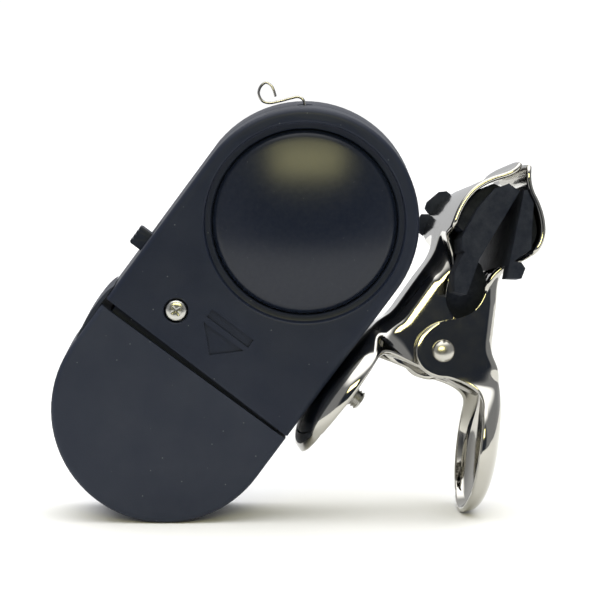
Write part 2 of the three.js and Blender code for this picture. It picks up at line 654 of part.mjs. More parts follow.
function pivotPin() {
  const face = LEVER_CHEEK_Y + 0.15;
  const head = face + 0.85;
  return turnedY([
    [0, -head], [0.9, 0.15 - head], [1.6, -face], [PIN_RADIUS, -face],
    [PIN_RADIUS, face], [1.6, face], [0.9, head - 0.15], [0, head],
  ], 0, 0, 20);
}
part(base, "pivot_pin", pivotPin(), STEEL);

// a torsion spring round the pin, with one leg up to the back of each half
function torsionSpring() {
  const COIL = 2.6;
  const TURNS = 4;
  const PER_TURN = 8;
  const WIRE = 0.5;
  const reach = BASE_CHEEK_Y - SHEET - WIRE - 0.3;
  const points = [[-4.6, -reach, 8.1], [-3.9, -reach, 5.6]];
  for (let i = 0; i <= TURNS * PER_TURN; i++) {
    const angle = Math.PI - (i / PER_TURN) * Math.PI * 2;
    points.push([COIL * Math.cos(angle), reach * ((2 * i) / (TURNS * PER_TURN) - 1), COIL * Math.sin(angle)]);
  }
  points.push([-3.1, reach, -2]);
  return wire(points, WIRE, 40, 3);
}
part(base, "torsion_spring", torsionSpring(), STEEL);

// ---- rubber pads: a slab along the grip line, and a core that fills the hollow of the jaw behind it ----
const PAD_HALF_WIDTH = 14;
const CORE_HALF_WIDTH = 11.6;
const TONGUE_HALF_WIDTH = 5;

function jawPad(jawLine, slab, core, ears, earInside, ...more) {
  const under = belowLine(jawLine, SHEET + 0.3, 16);
  const clear = acrossY(polygon([...under, [under.at(-1)[0], 0], [under[0][0], 0]]), -20, 20);
  const body = acrossY(polygon(core), -CORE_HALF_WIDTH, CORE_HALF_WIDTH)
    .add(acrossY(polygon(slab), -PAD_HALF_WIDTH, PAD_HALF_WIDTH));
  return joined(
    body.intersect(clear),
    acrossY(polygon(ears), earInside, PAD_HALF_WIDTH),
    acrossY(polygon(ears), -PAD_HALF_WIDTH, -earInside),
    ...more,
  );
}

const BASE_SLAB = [[13, 4.4], [25.2, 5.4], [25.2, 7.4], [23.4, 8.6], [19.6, 9], [14.5, 8.4], [13, 7.2]];
const BASE_CORE = [[15.4, 5], [25, 5.6], [24, 10], [20, 11.5], [16, 11]];
const BASE_EARS = [[8, 2.9], [9.2, 3.2], [13.5, 4.45], [13.5, 6.75], [12.6, 6.8], [9.6, 6.2], [7.4, 4.6]];
// the base pad's tongue fills the notch between the cheeks, ahead of the spring
const BASE_TONGUE = [
  [4.3, 0.2], [5.2, -1.2], [7, -1.9], [8.6, -1.9], [10.6, -1], [12.6, 0.4], [14.2, 2.6], [14.6, 5.4],
  [13.5, 6.2], [8, 6.2], [6, 4.9], [4.6, 2.6],
];
const tongue = acrossY(polygon(BASE_TONGUE), -TONGUE_HALF_WIDTH, TONGUE_HALF_WIDTH);
part(base, "jaw_pad_base", jawPad(BASE_JAW, BASE_SLAB, BASE_CORE, BASE_EARS, 8.4, tongue), RUBBER);

const LEVER_SLAB = [[13.6, 7.2], [25, 8.2], [25, 9], [23.4, 9.8], [19, 10], [14.6, 10.4], [13.6, 10]];
const LEVER_CORE = [[15.4, 8], [25, 8.4], [24, 12], [18, 14], [17.4, 12.6], [16, 10]];
const LEVER_EARS = [[11.6, 7.1], [14.2, 7.3], [14.2, 9], [13.4, 9.7], [11.8, 9.3]];
part(lever, "jaw_pad_lever", jawPad(LEVER_JAW, LEVER_SLAB, LEVER_CORE, LEVER_EARS, 9.8), RUBBER);

// ---- stand the alarm on the ground, with the origin under the middle of its box ----
alarm.updateMatrixWorld(true);
const bounds = new THREE.Box3().setFromObject(alarm, true);
const middle = bounds.getCenter(new THREE.Vector3());
alarm.position.set(-middle.x, -middle.y, -bounds.min.z);

export default alarm;
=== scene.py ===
"""Clip-on fishing bite alarm: the looks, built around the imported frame.

Pieces are drawn in millimetres, in the same local frames as the CAD (housing, clamp base, clamp lever),
and are placed in metres by the frame's own boxes.
"""

from math import cos, hypot, pi, radians, sin, sqrt

import bmesh
import bpy
import numpy as np
from mathutils import Matrix, Vector


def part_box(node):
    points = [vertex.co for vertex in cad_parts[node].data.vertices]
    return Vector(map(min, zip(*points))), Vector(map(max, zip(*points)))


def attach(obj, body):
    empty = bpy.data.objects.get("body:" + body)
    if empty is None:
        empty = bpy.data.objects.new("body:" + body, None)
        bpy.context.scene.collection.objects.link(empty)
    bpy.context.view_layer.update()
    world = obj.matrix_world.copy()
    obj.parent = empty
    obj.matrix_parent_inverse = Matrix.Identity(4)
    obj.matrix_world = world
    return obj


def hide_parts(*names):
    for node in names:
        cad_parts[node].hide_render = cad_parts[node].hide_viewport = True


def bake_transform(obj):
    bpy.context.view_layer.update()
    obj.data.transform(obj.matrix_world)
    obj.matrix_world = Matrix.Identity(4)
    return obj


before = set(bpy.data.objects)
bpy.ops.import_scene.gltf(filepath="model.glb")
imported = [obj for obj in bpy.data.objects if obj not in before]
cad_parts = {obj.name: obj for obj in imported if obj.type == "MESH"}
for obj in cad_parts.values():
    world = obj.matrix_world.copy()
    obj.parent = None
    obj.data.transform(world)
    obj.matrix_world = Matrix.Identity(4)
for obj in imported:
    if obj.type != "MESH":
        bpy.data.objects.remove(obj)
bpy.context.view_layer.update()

# ---- driving dimensions in millimetres, as the CAD has them unless a comment says otherwise ----
HALF_WIDTH = 17.0
CENTRE_DISTANCE = 35.2
DEPTH = 17.0
FRONT_DEPTH = 6.6
PARTING_GAP = 0.15
WALL = 1.6
FRONT_WALL = 2.4
BACK_WALL = 1.8
EDGE_ROUND = 0.9
SEAM_X = 7.4
SEAM_GAP_SWITCH_SIDE = 1.3
SEAM_GAP_CLAMP_SIDE = 0.4
AXIS_TILT = radians(53.5)
DOME_RADIUS = 13.6
DOME_HOLE_RADIUS = 13.9
RECESS_RADIUS = 14.9
RECESS_DEPTH = 1.5
SCREW_X, SCREW_Z = 13.3, 7.6
SWITCH_X, SWITCH_Y = 18.2, 7.4
KNOB_LENGTH = 3.0
KNOB_PROUD = 2.1
SWITCH_TRAVEL = 2.0
WIRE_RADIUS = 0.21  # thinner than the CAD's 0.25, so that the wire clears its contact ring
WIRE_ANGLE = radians(36.5)
WIRE_Y = 8.0
POST_REACH = 5.0
CELL_RADIUS, CELL_HEIGHT, CELL_COUNT = 5.8, 5.4, 3
CELL_X, CELL_Y, CELL_Z = -1.5, 8.2, -7.6
TRAY_END_LOW, TRAY_END_HIGH = -10.6, 9.2
SHEET = 0.8
CLAMP_SWIVEL = radians(12)
MOUNT_X, MOUNT_Y = CENTRE_DISTANCE / 2, DEPTH / 2
PIVOT_AHEAD = 12.9
BASE_DISH_Z, LEVER_DISH_Z = 11.4, 10.6
DISH_DEPTH = 3.5
BASE_DISH_RADIUS, LEVER_DISH_RADIUS = 11.4, 10.8
BASE_BACK_Z, LEVER_BACK_Z = 9.3, 7.45
BASE_BEND, LEVER_BEND = 3.2, 1.3
LEVER_ANGLE = radians(29)
BASE_CHEEK_Y, LEVER_CHEEK_Y = 6.2, 7.3
LOBE_RADIUS = 3.9
JAW_HALF_WIDTH = 13.2
PIN_RADIUS = 1.2
M3_CLEARANCE = 1.65
SCREW_HEAD_RADIUS = 1.75
SKIRT_INSET, SKIRT_WALL = 1.75, 0.7  # the lip inside the seam, drawn only here
STADIUM_STEPS = 44  # per round end
RIM_STEPS = 4  # round the edge of a pressed sheet
RIM_BULGE = 0.34

# ---- local frames ----
MM = Matrix.Scale(0.001, 4)
door_low, front_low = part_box("battery_door")[0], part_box("front_shell")[0]
ORIGIN = Vector((door_low.x + HALF_WIDTH / 1000, front_low.y, door_low.z + HALF_WIDTH / 1000))


def moved(x, y, z):
    return Matrix.Translation((x, y, z))


HOUSING = Matrix.Translation(ORIGIN) @ MM @ Matrix.Rotation(-AXIS_TILT, 4, "Y")
CLAMP = HOUSING @ moved(MOUNT_X, MOUNT_Y, -HALF_WIDTH - 0.02) @ Matrix.Rotation(CLAMP_SWIVEL, 4, "Z")
PIVOT = CLAMP @ moved(PIVOT_AHEAD, 0, -BASE_DISH_Z) @ Matrix.Rotation(pi, 4, "X")
BASE = PIVOT @ Matrix.Rotation(pi, 4, "X")
LEVER = PIVOT @ Matrix.Rotation(LEVER_ANGLE, 4, "Y")


# ---- materials ----
class Nodes:
    """A material's node tree, with short calls for the nodes that the finishes share."""

    def __init__(self, name):
        self.material = bpy.data.materials.new(name)
        self.material.use_nodes = True
        self.tree = self.material.node_tree
        self.shader = self.tree.nodes["Principled BSDF"]
        self.place = self.add("ShaderNodeTexCoord").outputs["Object"]

    def add(self, kind, **settings):
        node = self.tree.nodes.new(kind)
        for key, value in settings.items():
            setattr(node, key, value)
        return node

    def join(self, source, target):
        self.tree.links.new(source, target)

    def noise(self, scale, detail, roughness=0.5):
        node = self.add("ShaderNodeTexNoise")
        node.inputs["Scale"].default_value = scale
        node.inputs["Detail"].default_value = detail
        node.inputs["Roughness"].default_value = roughness
        self.join(self.place, node.inputs["Vector"])
        return node.outputs["Fac"]

    def ramp(self, source, stops):
        node = self.add("ShaderNodeValToRGB")
        ramp = node.color_ramp
        for i, (position, colour) in enumerate(stops):
            stop = ramp.elements[i] if i < 2 else ramp.elements.new(position)
            stop.position = position
            stop.color = colour if len(colour) == 4 else (*colour, 1)
        self.join(source, node.inputs["Fac"])
        return node.outputs["Color"]

    def spread(self, source, low, high):
        node = self.add("ShaderNodeMapRange")
        node.inputs["To Min"].default_value = low
        node.inputs["To Max"].default_value = high
        self.join(source, node.inputs["Value"])
        return node.outputs["Result"]

    def bump(self, source, depth, under=None):
        """A bump of that depth, in metres, over another bump if one is given."""
        node = self.add("ShaderNodeBump")
        node.inputs["Strength"].default_value = 1.0
        node.inputs["Distance"].default_value = depth
        self.join(source, node.inputs["Height"])
        if under:
            self.join(under, node.inputs["Normal"])
        return node.outputs["Normal"]

    def specks(self, under, colour):
        """Sparse dust specks over a colour."""
        cells = self.add("ShaderNodeTexVoronoi")
        cells.inputs["Scale"].default_value = 520
        self.join(self.place, cells.inputs["Vector"])
        near = self.add("ShaderNodeMapRange")
        for key, value in (("From Min", 0.035), ("From Max", 0.06), ("To Min", 0.7), ("To Max", 0.0)):
            near.inputs[key].default_value = value
        self.join(cells.outputs["Distance"], near.inputs["Value"])
        mix = self.add("ShaderNodeMix", data_type="RGBA")
        mix.inputs["B"].default_value = (*colour, 1)
        self.join(near.outputs["Result"], mix.inputs["Factor"])
        self.join(under, mix.inputs["A"])
        return mix.outputs["Result"]

    def set(self, **values):
        for key, value in values.items():
            self.shader.inputs[key.replace("_", " ")].default_value = value


def mixed(a, b, share):
    return tuple(p + (q - p) * share for p, q in zip(a, b))


def moulded_plastic(name, colour, roughness, specular):
    """Satin injection moulding: a fine spark grain, faint flow clouds and slightly uneven gloss."""
    n = Nodes(name)
    lighter = mixed(colour, (0.2, 0.21, 0.23), 0.03)
    clouds = n.ramp(n.noise(160, 4), [(0.3, colour), (0.75, lighter)])
    n.join(n.specks(clouds, (0.11, 0.12, 0.13)), n.shader.inputs["Base Color"])
    n.join(n.spread(n.noise(700, 3), roughness - 0.06, roughness + 0.08), n.shader.inputs["Roughness"])
    grain = n.bump(n.noise(5200, 2), 0.000012)
    n.join(n.bump(n.noise(260, 2), 0.00001, grain), n.shader.inputs["Normal"])
    n.set(Specular_IOR_Level=specular)
    return n.material


def glossy_plastic(name, colour, roughness):
    """Polished moulding with very fine rub marks."""
    n = Nodes(name)
    marks = n.noise(1500, 5, 0.6)
    rubbed = mixed(colour, (0.3, 0.3, 0.32), 0.015)
    n.join(n.ramp(marks, [(0.35, colour), (0.8, rubbed)]), n.shader.inputs["Base Color"])
    n.join(n.spread(marks, roughness - 0.03, roughness + 0.06), n.shader.inputs["Roughness"])
    n.join(n.bump(n.noise(160, 2), 0.000006), n.shader.inputs["Normal"])
    n.set(Specular_IOR_Level=0.36)
    return n.material


def plated(name, colour, roughness, tint=(0.5, 0.42, 0.26)):
    """Bright plating: slight waviness from the press, warm tarnish in patches, and fine rub marks."""
    n = Nodes(name)
    patches = n.noise(140, 4)
    n.join(n.ramp(patches, [(0.35, colour), (0.8, mixed(colour, tint, 0.35))]), n.shader.inputs["Base Color"])
    n.join(n.spread(n.noise(600, 4, 0.6), roughness, roughness + 0.07), n.shader.inputs["Roughness"])
    n.join(n.bump(n.noise(330, 2), 0.000012), n.shader.inputs["Normal"])
    n.set(Metallic=1.0)
    return n.material


def moulded_rubber(name, colour):
    """Dull rubber: open grain and dusty high spots."""
    n = Nodes(name)
    dust = n.noise(420, 6, 0.7)
    dusty = mixed(colour, (0.14, 0.15, 0.17), 0.16)
    n.join(n.ramp(dust, [(0.4, colour), (0.85, dusty)]), n.shader.inputs["Base Color"])
    n.join(n.spread(n.noise(900, 3), 0.62, 0.85), n.shader.inputs["Roughness"])
    coarse = n.bump(n.noise(1100, 4, 0.6), 0.00004)
    n.join(n.bump(n.noise(3800, 3), 0.00002, coarse), n.shader.inputs["Normal"])
    n.set(Specular_IOR_Level=0.18)
    return n.material


HOUSING_PLASTIC = moulded_plastic("housing_plastic", (0.0078, 0.0118, 0.0262), 0.42, 0.22)
DOOR_PLASTIC = moulded_plastic("door_plastic", (0.0125, 0.0172, 0.0335), 0.5, 0.25)
DOME_PLASTIC = glossy_plastic("dome_plastic", (0.0058, 0.0092, 0.0205), 0.24)
NICKEL = plated("bright_nickel", (0.47, 0.46, 0.425), 0.05, (0.38, 0.35, 0.28))
STEEL = plated("zinc_steel", (0.5, 0.5, 0.48), 0.22)
SPRING_STEEL = plated("spring_steel", (0.4, 0.4, 0.4), 0.2)
BRASS = plated("brass", (0.6, 0.42, 0.16), 0.25)
RUBBER = moulded_rubber("jaw_rubber", (0.0065, 0.0092, 0.0175))
BOARD_GREEN = glossy_plastic("board_green", (0.01, 0.075, 0.03), 0.3)
RESIN = glossy_plastic("black_resin", (0.008, 0.008, 0.009), 0.3)


# ---- mesh helpers, all in millimetres ----
def mesh_object(name, vertices, faces):
    mesh = bpy.data.meshes.new(name)
    mesh.from_pydata([tuple(map(float, v)) for v in vertices], [], faces)
    mesh.validate()
    item = bpy.data.objects.new(name, mesh)
    bpy.context.scene.collection.objects.link(item)
    return item


def tidy_normals(item):
    work = bmesh.new()
    work.from_mesh(item.data)
    bmesh.ops.remove_doubles(work, verts=work.verts, dist=1e-5)
    bmesh.ops.recalc_face_normals(work, faces=work.faces)
    work.to_mesh(item.data)
    work.free()
    return item


def applied(item):
    """Makes the modifiers' result the object's mesh."""
    bpy.context.view_layer.update()
    evaluated = item.evaluated_get(bpy.context.evaluated_depsgraph_get())
    result = bpy.data.meshes.new_from_object(evaluated)
    item.modifiers.clear()
    item.data = result
    return item


def combined(item, other, operation):
    step = item.modifiers.new("combine", "BOOLEAN")
    step.operation = operation
    step.solver = "EXACT"
    step.use_self = True
    step.object = other
    applied(item)
    bpy.data.objects.remove(other)
    return item


def cut(item, *others):
    for other in others:
        combined(item, other, "DIFFERENCE")
    return item


def fused(item, *others):
    for other in others:
        combined(item, other, "UNION")
    return item


def rounded(item, width, segments, angle=40):
    """Rounds the edges that turn by more than an angle in degrees."""
    step = item.modifiers.new("round", "BEVEL")
    step.width = width
    step.segments = segments
    step.limit_method = "ANGLE"
    step.angle_limit = radians(angle)
    step.harden_normals = False
    return applied(item)


def loft(name, loops):
    """A skin through closed loops of equal length, with its two ends closed."""
    count = len(loops[0])
    vertices = [p for loop in loops for p in loop]
    faces = []
    for i in range(len(loops) - 1):
        for j in range(count):
            k = (j + 1) % count
            faces.append((i * count + j, i * count + k, (i + 1) * count + k, (i + 1) * count + j))
    faces.append(tuple(range(count)))
    faces.append(tuple((len(loops) - 1) * count + j for j in reversed(range(count))))
    return tidy_normals(mesh_object(name, vertices, faces))


def extruded(name, outline, place_point, low, high):
    """An outline carried from low to high; place_point(a, b, height) gives the point."""
    loops = [[place_point(a, b, h) for a, b in outline] for h in (low, high)]
    return loft(name, loops)


def across_y(name, outline, y0, y1):
    """An (x, z) outline carried from y0 to y1."""
    return extruded(name, outline, lambda a, b, h: (a, h, b), y0, y1)


def box(name, x0, x1, y0, y1, z0, z1):
    return across_y(name, [(x0, z0), (x1, z0), (x1, z1), (x0, z1)], y0, y1)


def turned(name, profile, segments, place_point):
    """A lathe body; place_point(radius, angle, height) gives the point.

    The profile is (radius, height) and starts and ends on the axis, or is closed.
    """
    on_axis = profile[0][0] == 0 and profile[-1][0] == 0
    angles = [2 * pi * i / segments for i in range(segments)]
    vertices, rings = [], []
    for r, h in profile:
        points = [place_point(0, 0, h)] if r == 0 else [place_point(r, a, h) for a in angles]
        rings.append(list(range(len(vertices), len(vertices) + len(points))))
        vertices += points
    pairs = list(zip(rings, rings[1:]))
    if not on_axis:
        pairs.append((rings[-1], rings[0]))
    faces = []
    for a, b in pairs:
        for i in range(segments):
            j = (i + 1) % segments
            if len(a) == 1 and len(b) > 1:
                faces.append((a[0], b[j], b[i]))
            elif len(b) == 1 and len(a) > 1:
                faces.append((a[i], a[j], b[0]))
            elif len(a) > 1:
                faces.append((a[i], a[j], b[j], b[i]))
    return tidy_normals(mesh_object(name, vertices, faces))


def turned_y(name, profile, x, z, segments):
    """A lathe body about the y axis through (x, z)."""
    return turned(name, profile, segments, lambda r, a, h: (x + r * cos(a), h, z + r * sin(a)))


def turned_z(name, profile, x, y, segments=64):
    """A lathe body about the z axis through (x, y)."""
    return turned(name, profile, segments, lambda r, a, h: (x + r * cos(a), y + r * sin(a), h))


def arc(cx, cy, radius, start, end, steps):
    """Points on an arc, angles in degrees."""
    angles = [radians(start + (end - start) * i / steps) for i in range(steps + 1)]
    return [(cx + radius * cos(a), cy + radius * sin(a)) for a in angles]


def bezier(points, steps):
    """A Bezier curve of any order through its control points, without its first point."""
    result = []
    for i in range(1, steps + 1):
        layer = [np.array(p, float) for p in points]
        while len(layer) > 1:
            layer = [a + (b - a) * (i / steps) for a, b in zip(layer, layer[1:])]
        result.append(tuple(layer[0]))
    return result


def smooth_line(points, steps):
    """A centripetal Catmull-Rom line through points, with that many steps per span."""
    p = [np.array(q, float) for q in points]
    p = [2 * p[0] - p[1], *p, 2 * p[-1] - p[-2]]
    result = []
    for a, b, c, d in zip(p, p[1:], p[2:], p[3:]):
        t = [0.0]
        for q, r in ((a, b), (b, c), (c, d)):
            t.append(t[-1] + max(np.linalg.norm(r - q), 1e-6) ** 0.5)
        for s in np.linspace(t[1], t[2], steps, endpoint=False):
            ab = a + (b - a) * (s - t[0]) / (t[1] - t[0])
            bc = b + (c - b) * (s - t[1]) / (t[2] - t[1])
            cd = c + (d - c) * (s - t[2]) / (t[3] - t[2])
            abc = ab + (bc - ab) * (s - t[0]) / (t[2] - t[0])
            bcd = bc + (cd - bc) * (s - t[1]) / (t[3] - t[1])
            result.append(abc + (bcd - abc) * (s - t[1]) / (t[2] - t[1]))
    return [*result, p[-2]]


def wire(name, route, radius, sides=12):
    """A round wire along a route, with rounded ends."""
    points = [Vector(p) for p in route]
    ahead, behind = [*points[1:], points[-1]], [points[0], *points[:-1]]
    tangents = [(a - b).normalized() for a, b in zip(ahead, behind)]
    angles = [2 * pi * k / sides for k in range(sides)]
    side = tangents[0].orthogonal().normalized()
    loops = []
    for i, (point, tangent) in enumerate(zip(points, tangents)):
        side = (side - tangent * side.dot(tangent)).normalized()
        other = tangent.cross(side)
        rings = [(0, 1)]  # (shift along the wire, size), both in radii
        if i == 0:
            rings = [(-0.5, 0.6), (-0.25, 0.88), *rings]
        if i == len(points) - 1:
            rings += [(0.25, 0.88), (0.5, 0.6)]
        for shift, size in rings:
            centre, r = point + tangent * radius * shift, radius * size
            loops.append([centre + side * (r * cos(a)) + other * (r * sin(a)) for a in angles])
    return loft(name, loops)


def put(item, matrix, body, material, nodes, sharp=35):
    """Turns a piece drawn in a local frame into a finished piece that rides on a body.

    Edges that turn by more than sharp degrees are shaded as corners.
    """
    item.data.transform(matrix)
    item.data.materials.clear()
    item.data.materials.append(material)
    item.data.polygons.foreach_set("use_smooth", [True] * len(item.data.polygons))
    item.data.polygons.foreach_set("material_index", [0] * len(item.data.polygons))
    item.data.set_sharp_from_angle(angle=radians(sharp))
    item.data.update()
    if body:
        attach(item, body)
    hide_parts(*nodes)
    return item


# ---- housing ----
def stadium(inset):
    """The housing's (x, z) outline, moved in by an inset."""
    radius = HALF_WIDTH - inset
    far_end = arc(CENTRE_DISTANCE, 0, radius, -90, 90, STADIUM_STEPS)
    return far_end + arc(0, 0, radius, 90, 270, STADIUM_STEPS)


def stadium_block(name, inset, y0, y1, round_front, round_back, steps=6):
    """A stadium block with its two edges rounded."""
    loops = []
    for y, radius, into in ((y0, round_front, 1), (y1, round_back, -1)):
        stretch = []
        for i in range(steps + 1):
            a = (pi / 2) * i / steps
            stretch.append((y + into * radius * (1 - sin(a)), inset + radius * (1 - cos(a))))
        loops += list(reversed(stretch)) if into == 1 else stretch
    return loft(name, [[(x, y, z) for x, z in stadium(in_)] for y, in_ in loops])


def below_seam(name):
    """Everything on the battery side of the seam between the shells and the door."""
    edge = HALF_WIDTH + 3
    outline = [
        (-HALF_WIDTH - 3, -edge),
        (SEAM_X + SEAM_GAP_CLAMP_SIDE, -edge),
        (SEAM_X + SEAM_GAP_SWITCH_SIDE, edge),
        (-HALF_WIDTH - 3, edge),
    ]
    return across_y(name, outline, -2, DEPTH + 2)


def symbol_cutters():
    """A shallow bar and arrowhead that point at the battery door."""
    depth = 0.32
    bar = across_y("bar_cut", [(15.2, -4.3), (16.6, -4.3), (16.7, 3.4), (15.3, 3.4)], -1, depth)
    arrow = across_y("arrow_cut", [(14.4, -4), (14.4, 3.3), (10.9, -0.35)], -1, depth)
    return bar, arrow


def knob_slot():
    """The slot that the switch knob slides in."""
    start = SWITCH_X - KNOB_LENGTH / 2 - 0.3
    end = SWITCH_X + KNOB_LENGTH / 2 + SWITCH_TRAVEL + 0.3
    return box("slot_cut", start, end, SWITCH_Y - 1.5, SWITCH_Y + 1.5, HALF_WIDTH - 3, HALF_WIDTH + 1)


def on_wire(reach):
    """A point on the trigger wire's stem, at a distance from the round end's centre."""
    return (CENTRE_DISTANCE + reach * cos(WIRE_ANGLE), WIRE_Y, reach * sin(WIRE_ANGLE))


def wire_exit():
    """The hole that the trigger wire leaves through, a little flared outside."""
    c, s = cos(WIRE_ANGLE), sin(WIRE_ANGLE)

    def at(r, a, h):
        return (CENTRE_DISTANCE + h * c - r * cos(a) * s, WIRE_Y + r * sin(a), h * s + r * cos(a) * c)

    profile = [(0, 14), (1.1, 14), (1.1, 16.7), (1.35, 17.1), (1.35, 18), (0, 18)]
    return turned("wire_cut", profile, 32, at)


def dome_cutter():
    """The sounder dome's opening and the ring-shaped recess round it, with eased edges."""
    side, depth, hole, ease = RECESS_RADIUS, RECESS_DEPTH, DOME_HOLE_RADIUS, 0.35
    turn = (0, 0.4, 0.8, 1.2, pi / 2)
    lip = [(side + ease - ease * sin(a), ease - ease * cos(a)) for a in turn]
    floor_turn = [(side, depth - 0.25), (side - 0.08, depth - 0.07), (side - 0.25, depth)]
    opening = [(hole + 0.15, depth), (hole, depth + 0.15), (hole, 8), (0, 8)]
    profile = [(0, -2), (side + ease, -2), *lip, *floor_turn, *opening]
    return turned_y("dome_cut", profile, CENTRE_DISTANCE, 0, 128)


def screw_cutter():
    """The counterbore and the hole for the case screw."""
    head = SCREW_HEAD_RADIUS + 0.09
    profile = [(0, -2), (head + 0.2, -2), (head + 0.2, -0.01), (head, 0.2)]
    profile += [(head, 1.7), (1.25, 1.7), (1.25, 9), (0, 9)]
    return turned_y("screw_cut", profile, SCREW_X, SCREW_Z, 48)


def seam_skirt(y0, y1):
    """The lip inside the seam, from y0 to y1, that the battery door slides over."""
    far = DEPTH - BACK_WALL + 0.1
    skirt = stadium_block("skirt", SKIRT_INSET, SKIRT_INSET, far, 0.3, 0.05, 3)
    inside = SKIRT_INSET + SKIRT_WALL
    cut(skirt, stadium_block("inside", inside, inside - 0.2, far - SKIRT_WALL, 0.1, 0.1, 2))
    band = box("band", SEAM_X - 1.6, SEAM_X + 3.4, y0, y1, -HALF_WIDTH, HALF_WIDTH)
    return combined(skirt, band, "INTERSECT")


def front_shell():
    shell = stadium_block("front_shell_moulding", 0, 0, FRONT_DEPTH - PARTING_GAP / 2, EDGE_ROUND, 0.12)
    hollow = stadium_block("hollow", WALL, FRONT_WALL, DEPTH + 3, 0.4, 0.1, 3)
    cut(shell, hollow)
    fused(shell, turned_y("boss", [(0, 2), (3.2, 2), (3.2, 6.3), (0, 6.3)], SCREW_X, SCREW_Z, 48))
    cut(shell, dome_cutter(), screw_cutter(), *symbol_cutters())
    cut(shell, knob_slot(), wire_exit(), below_seam("seam_cut"))
    fused(shell, seam_skirt(SKIRT_INSET, FRONT_DEPTH - PARTING_GAP / 2))
    put(shell, HOUSING, "housing", HOUSING_PLASTIC, ["front_shell"])


def cell_tray():
    """A shelf behind the cells, its root in the back wall, and its two end walls."""
    low, high = TRAY_END_LOW - 1, TRAY_END_HIGH + 1
    top = CELL_Y + CELL_RADIUS + 0.4
    return [
        box("tray", CELL_X - 6.5, 12, top, top + 0.7, low, high),
        box("tray_root", SEAM_X + 1.2, 12, top + 0.1, DEPTH - 1.4, low, high),
        box("tray_low", CELL_X - 5, CELL_X + 5, 4, top + 0.5, low, TRAY_END_LOW),
        box("tray_high", CELL_X - 5, CELL_X + 5, 4, top + 0.5, TRAY_END_HIGH, high),
    ]


def back_shell():
    shell = stadium_block("back_shell_moulding", 0, FRONT_DEPTH + PARTING_GAP / 2, DEPTH, 0.12, EDGE_ROUND)
    hollow = stadium_block("hollow", WALL, -3, DEPTH - BACK_WALL, 0.1, 0.4, 3)
    cut(shell, hollow, below_seam("seam_cut"))
    boss = turned_y("boss", [(0, 6.9), (3, 6.9), (3, 15.6), (0, 15.6)], SCREW_X, SCREW_Z, 48)
    skirt = seam_skirt(FRONT_DEPTH + PARTING_GAP / 2, DEPTH - BACK_WALL + 0.1)
    fused(shell, boss, *cell_tray(), skirt)
    core = turned_y("core", [(0, 0), (1.15, 0), (1.15, 14), (0, 14)], SCREW_X, SCREW_Z, 32)
    through_wall = [(0, -19), (M3_CLEARANCE, -19), (M3_CLEARANCE, -14), (0, -14)]
    hole = turned_z("mount_cut", through_wall, MOUNT_X, MOUNT_Y, 32)
    cut(shell, core, hole, knob_slot(), wire_exit())
    put(shell, HOUSING, "housing", HOUSING_PLASTIC, ["back_shell"])


def thumb_lip():
    """The raised edge on the door's switch side, which also covers the end of the seam."""
    side = HALF_WIDTH
    outline = [(-1.5, side - 0.6), (SEAM_X - 0.4, side - 0.6)]
    outline += [(SEAM_X - 0.4, side + 0.15), (SEAM_X + 3.2, side + 0.15)]
    outline += bezier([outline[-1], (SEAM_X + 2, side + 0.75), (SEAM_X - 1, side + 0.7)], 8)
    outline += bezier([outline[-1], (SEAM_X - 5, side + 0.6), (-1.5, side - 0.6)], 12)[:-1]
    return across_y("lip", outline, 1.2, DEPTH - 3)


def battery_door():
    door = stadium_block("battery_door_moulding", 0, 0, DEPTH, EDGE_ROUND, EDGE_ROUND)
    far = CENTRE_DISTANCE + HALF_WIDTH + 2
    cut(door, box("top_cut", SEAM_X, far, -2, DEPTH + 2, -HALF_WIDTH - 3, HALF_WIDTH + 3))
    cut(door, stadium_block("hollow", WALL, WALL, DEPTH - WALL, 0.4, 0.4, 3))
    fused(door, thumb_lip())
    put(door, HOUSING, "battery_door", DOOR_PLASTIC, ["battery_door"])


def speaker_dome():
    """A shallow crown that turns down at a rounded edge, with a flange behind the front wall."""
    proud, rise, edge = 1.15, 2.0, 12.6
    crown = [(r, -proud + rise * (r / edge) ** 2) for r in np.linspace(0, edge, 24)]
    side = DOME_RADIUS + 0.15
    turn = bezier([crown[-1], (side - 0.1, crown[-1][1] + 0.35), (side, 1.8)], 8)
    flange = [(side, 2.55), (14.6, 2.55), (14.6, 3.35), (12.3, 3.35)]
    inner_face = [(11.7, 2.2), (9, 1.5), (5, 1.1), (0, 1.0)]
    dome = turned_y("sounder_dome", [*crown, *turn, *flange, *inner_face], CENTRE_DISTANCE, 0, 128)
    put(dome, HOUSING, "housing", DOME_PLASTIC, ["speaker_dome"])


def case_screw():
    """A pan-head screw with a cross recess."""
    head = [(0, -0.1), (0.9, -0.06), (1.3, 0.04), (1.6, 0.24)]
    head += [(SCREW_HEAD_RADIUS, 0.6), (SCREW_HEAD_RADIUS, 1.6)]
    shank = [(1, 1.6), (1, 13), (0.3, 13.8), (0, 13.8)]
    screw = turned_y("case_screw_detail", [*head, *shank], SCREW_X, SCREW_Z, 48)
    for turn in (20, 110):
        slot = box("slot", -0.85, 0.85, -1, 0.6, -0.16, 0.16)
        slot.data.transform(moved(SCREW_X, 0, SCREW_Z) @ Matrix.Rotation(radians(turn), 4, "Y"))
        cut(screw, slot)
    put(rounded(screw, 0.05, 2), HOUSING, "housing", STEEL, ["case_screw"])


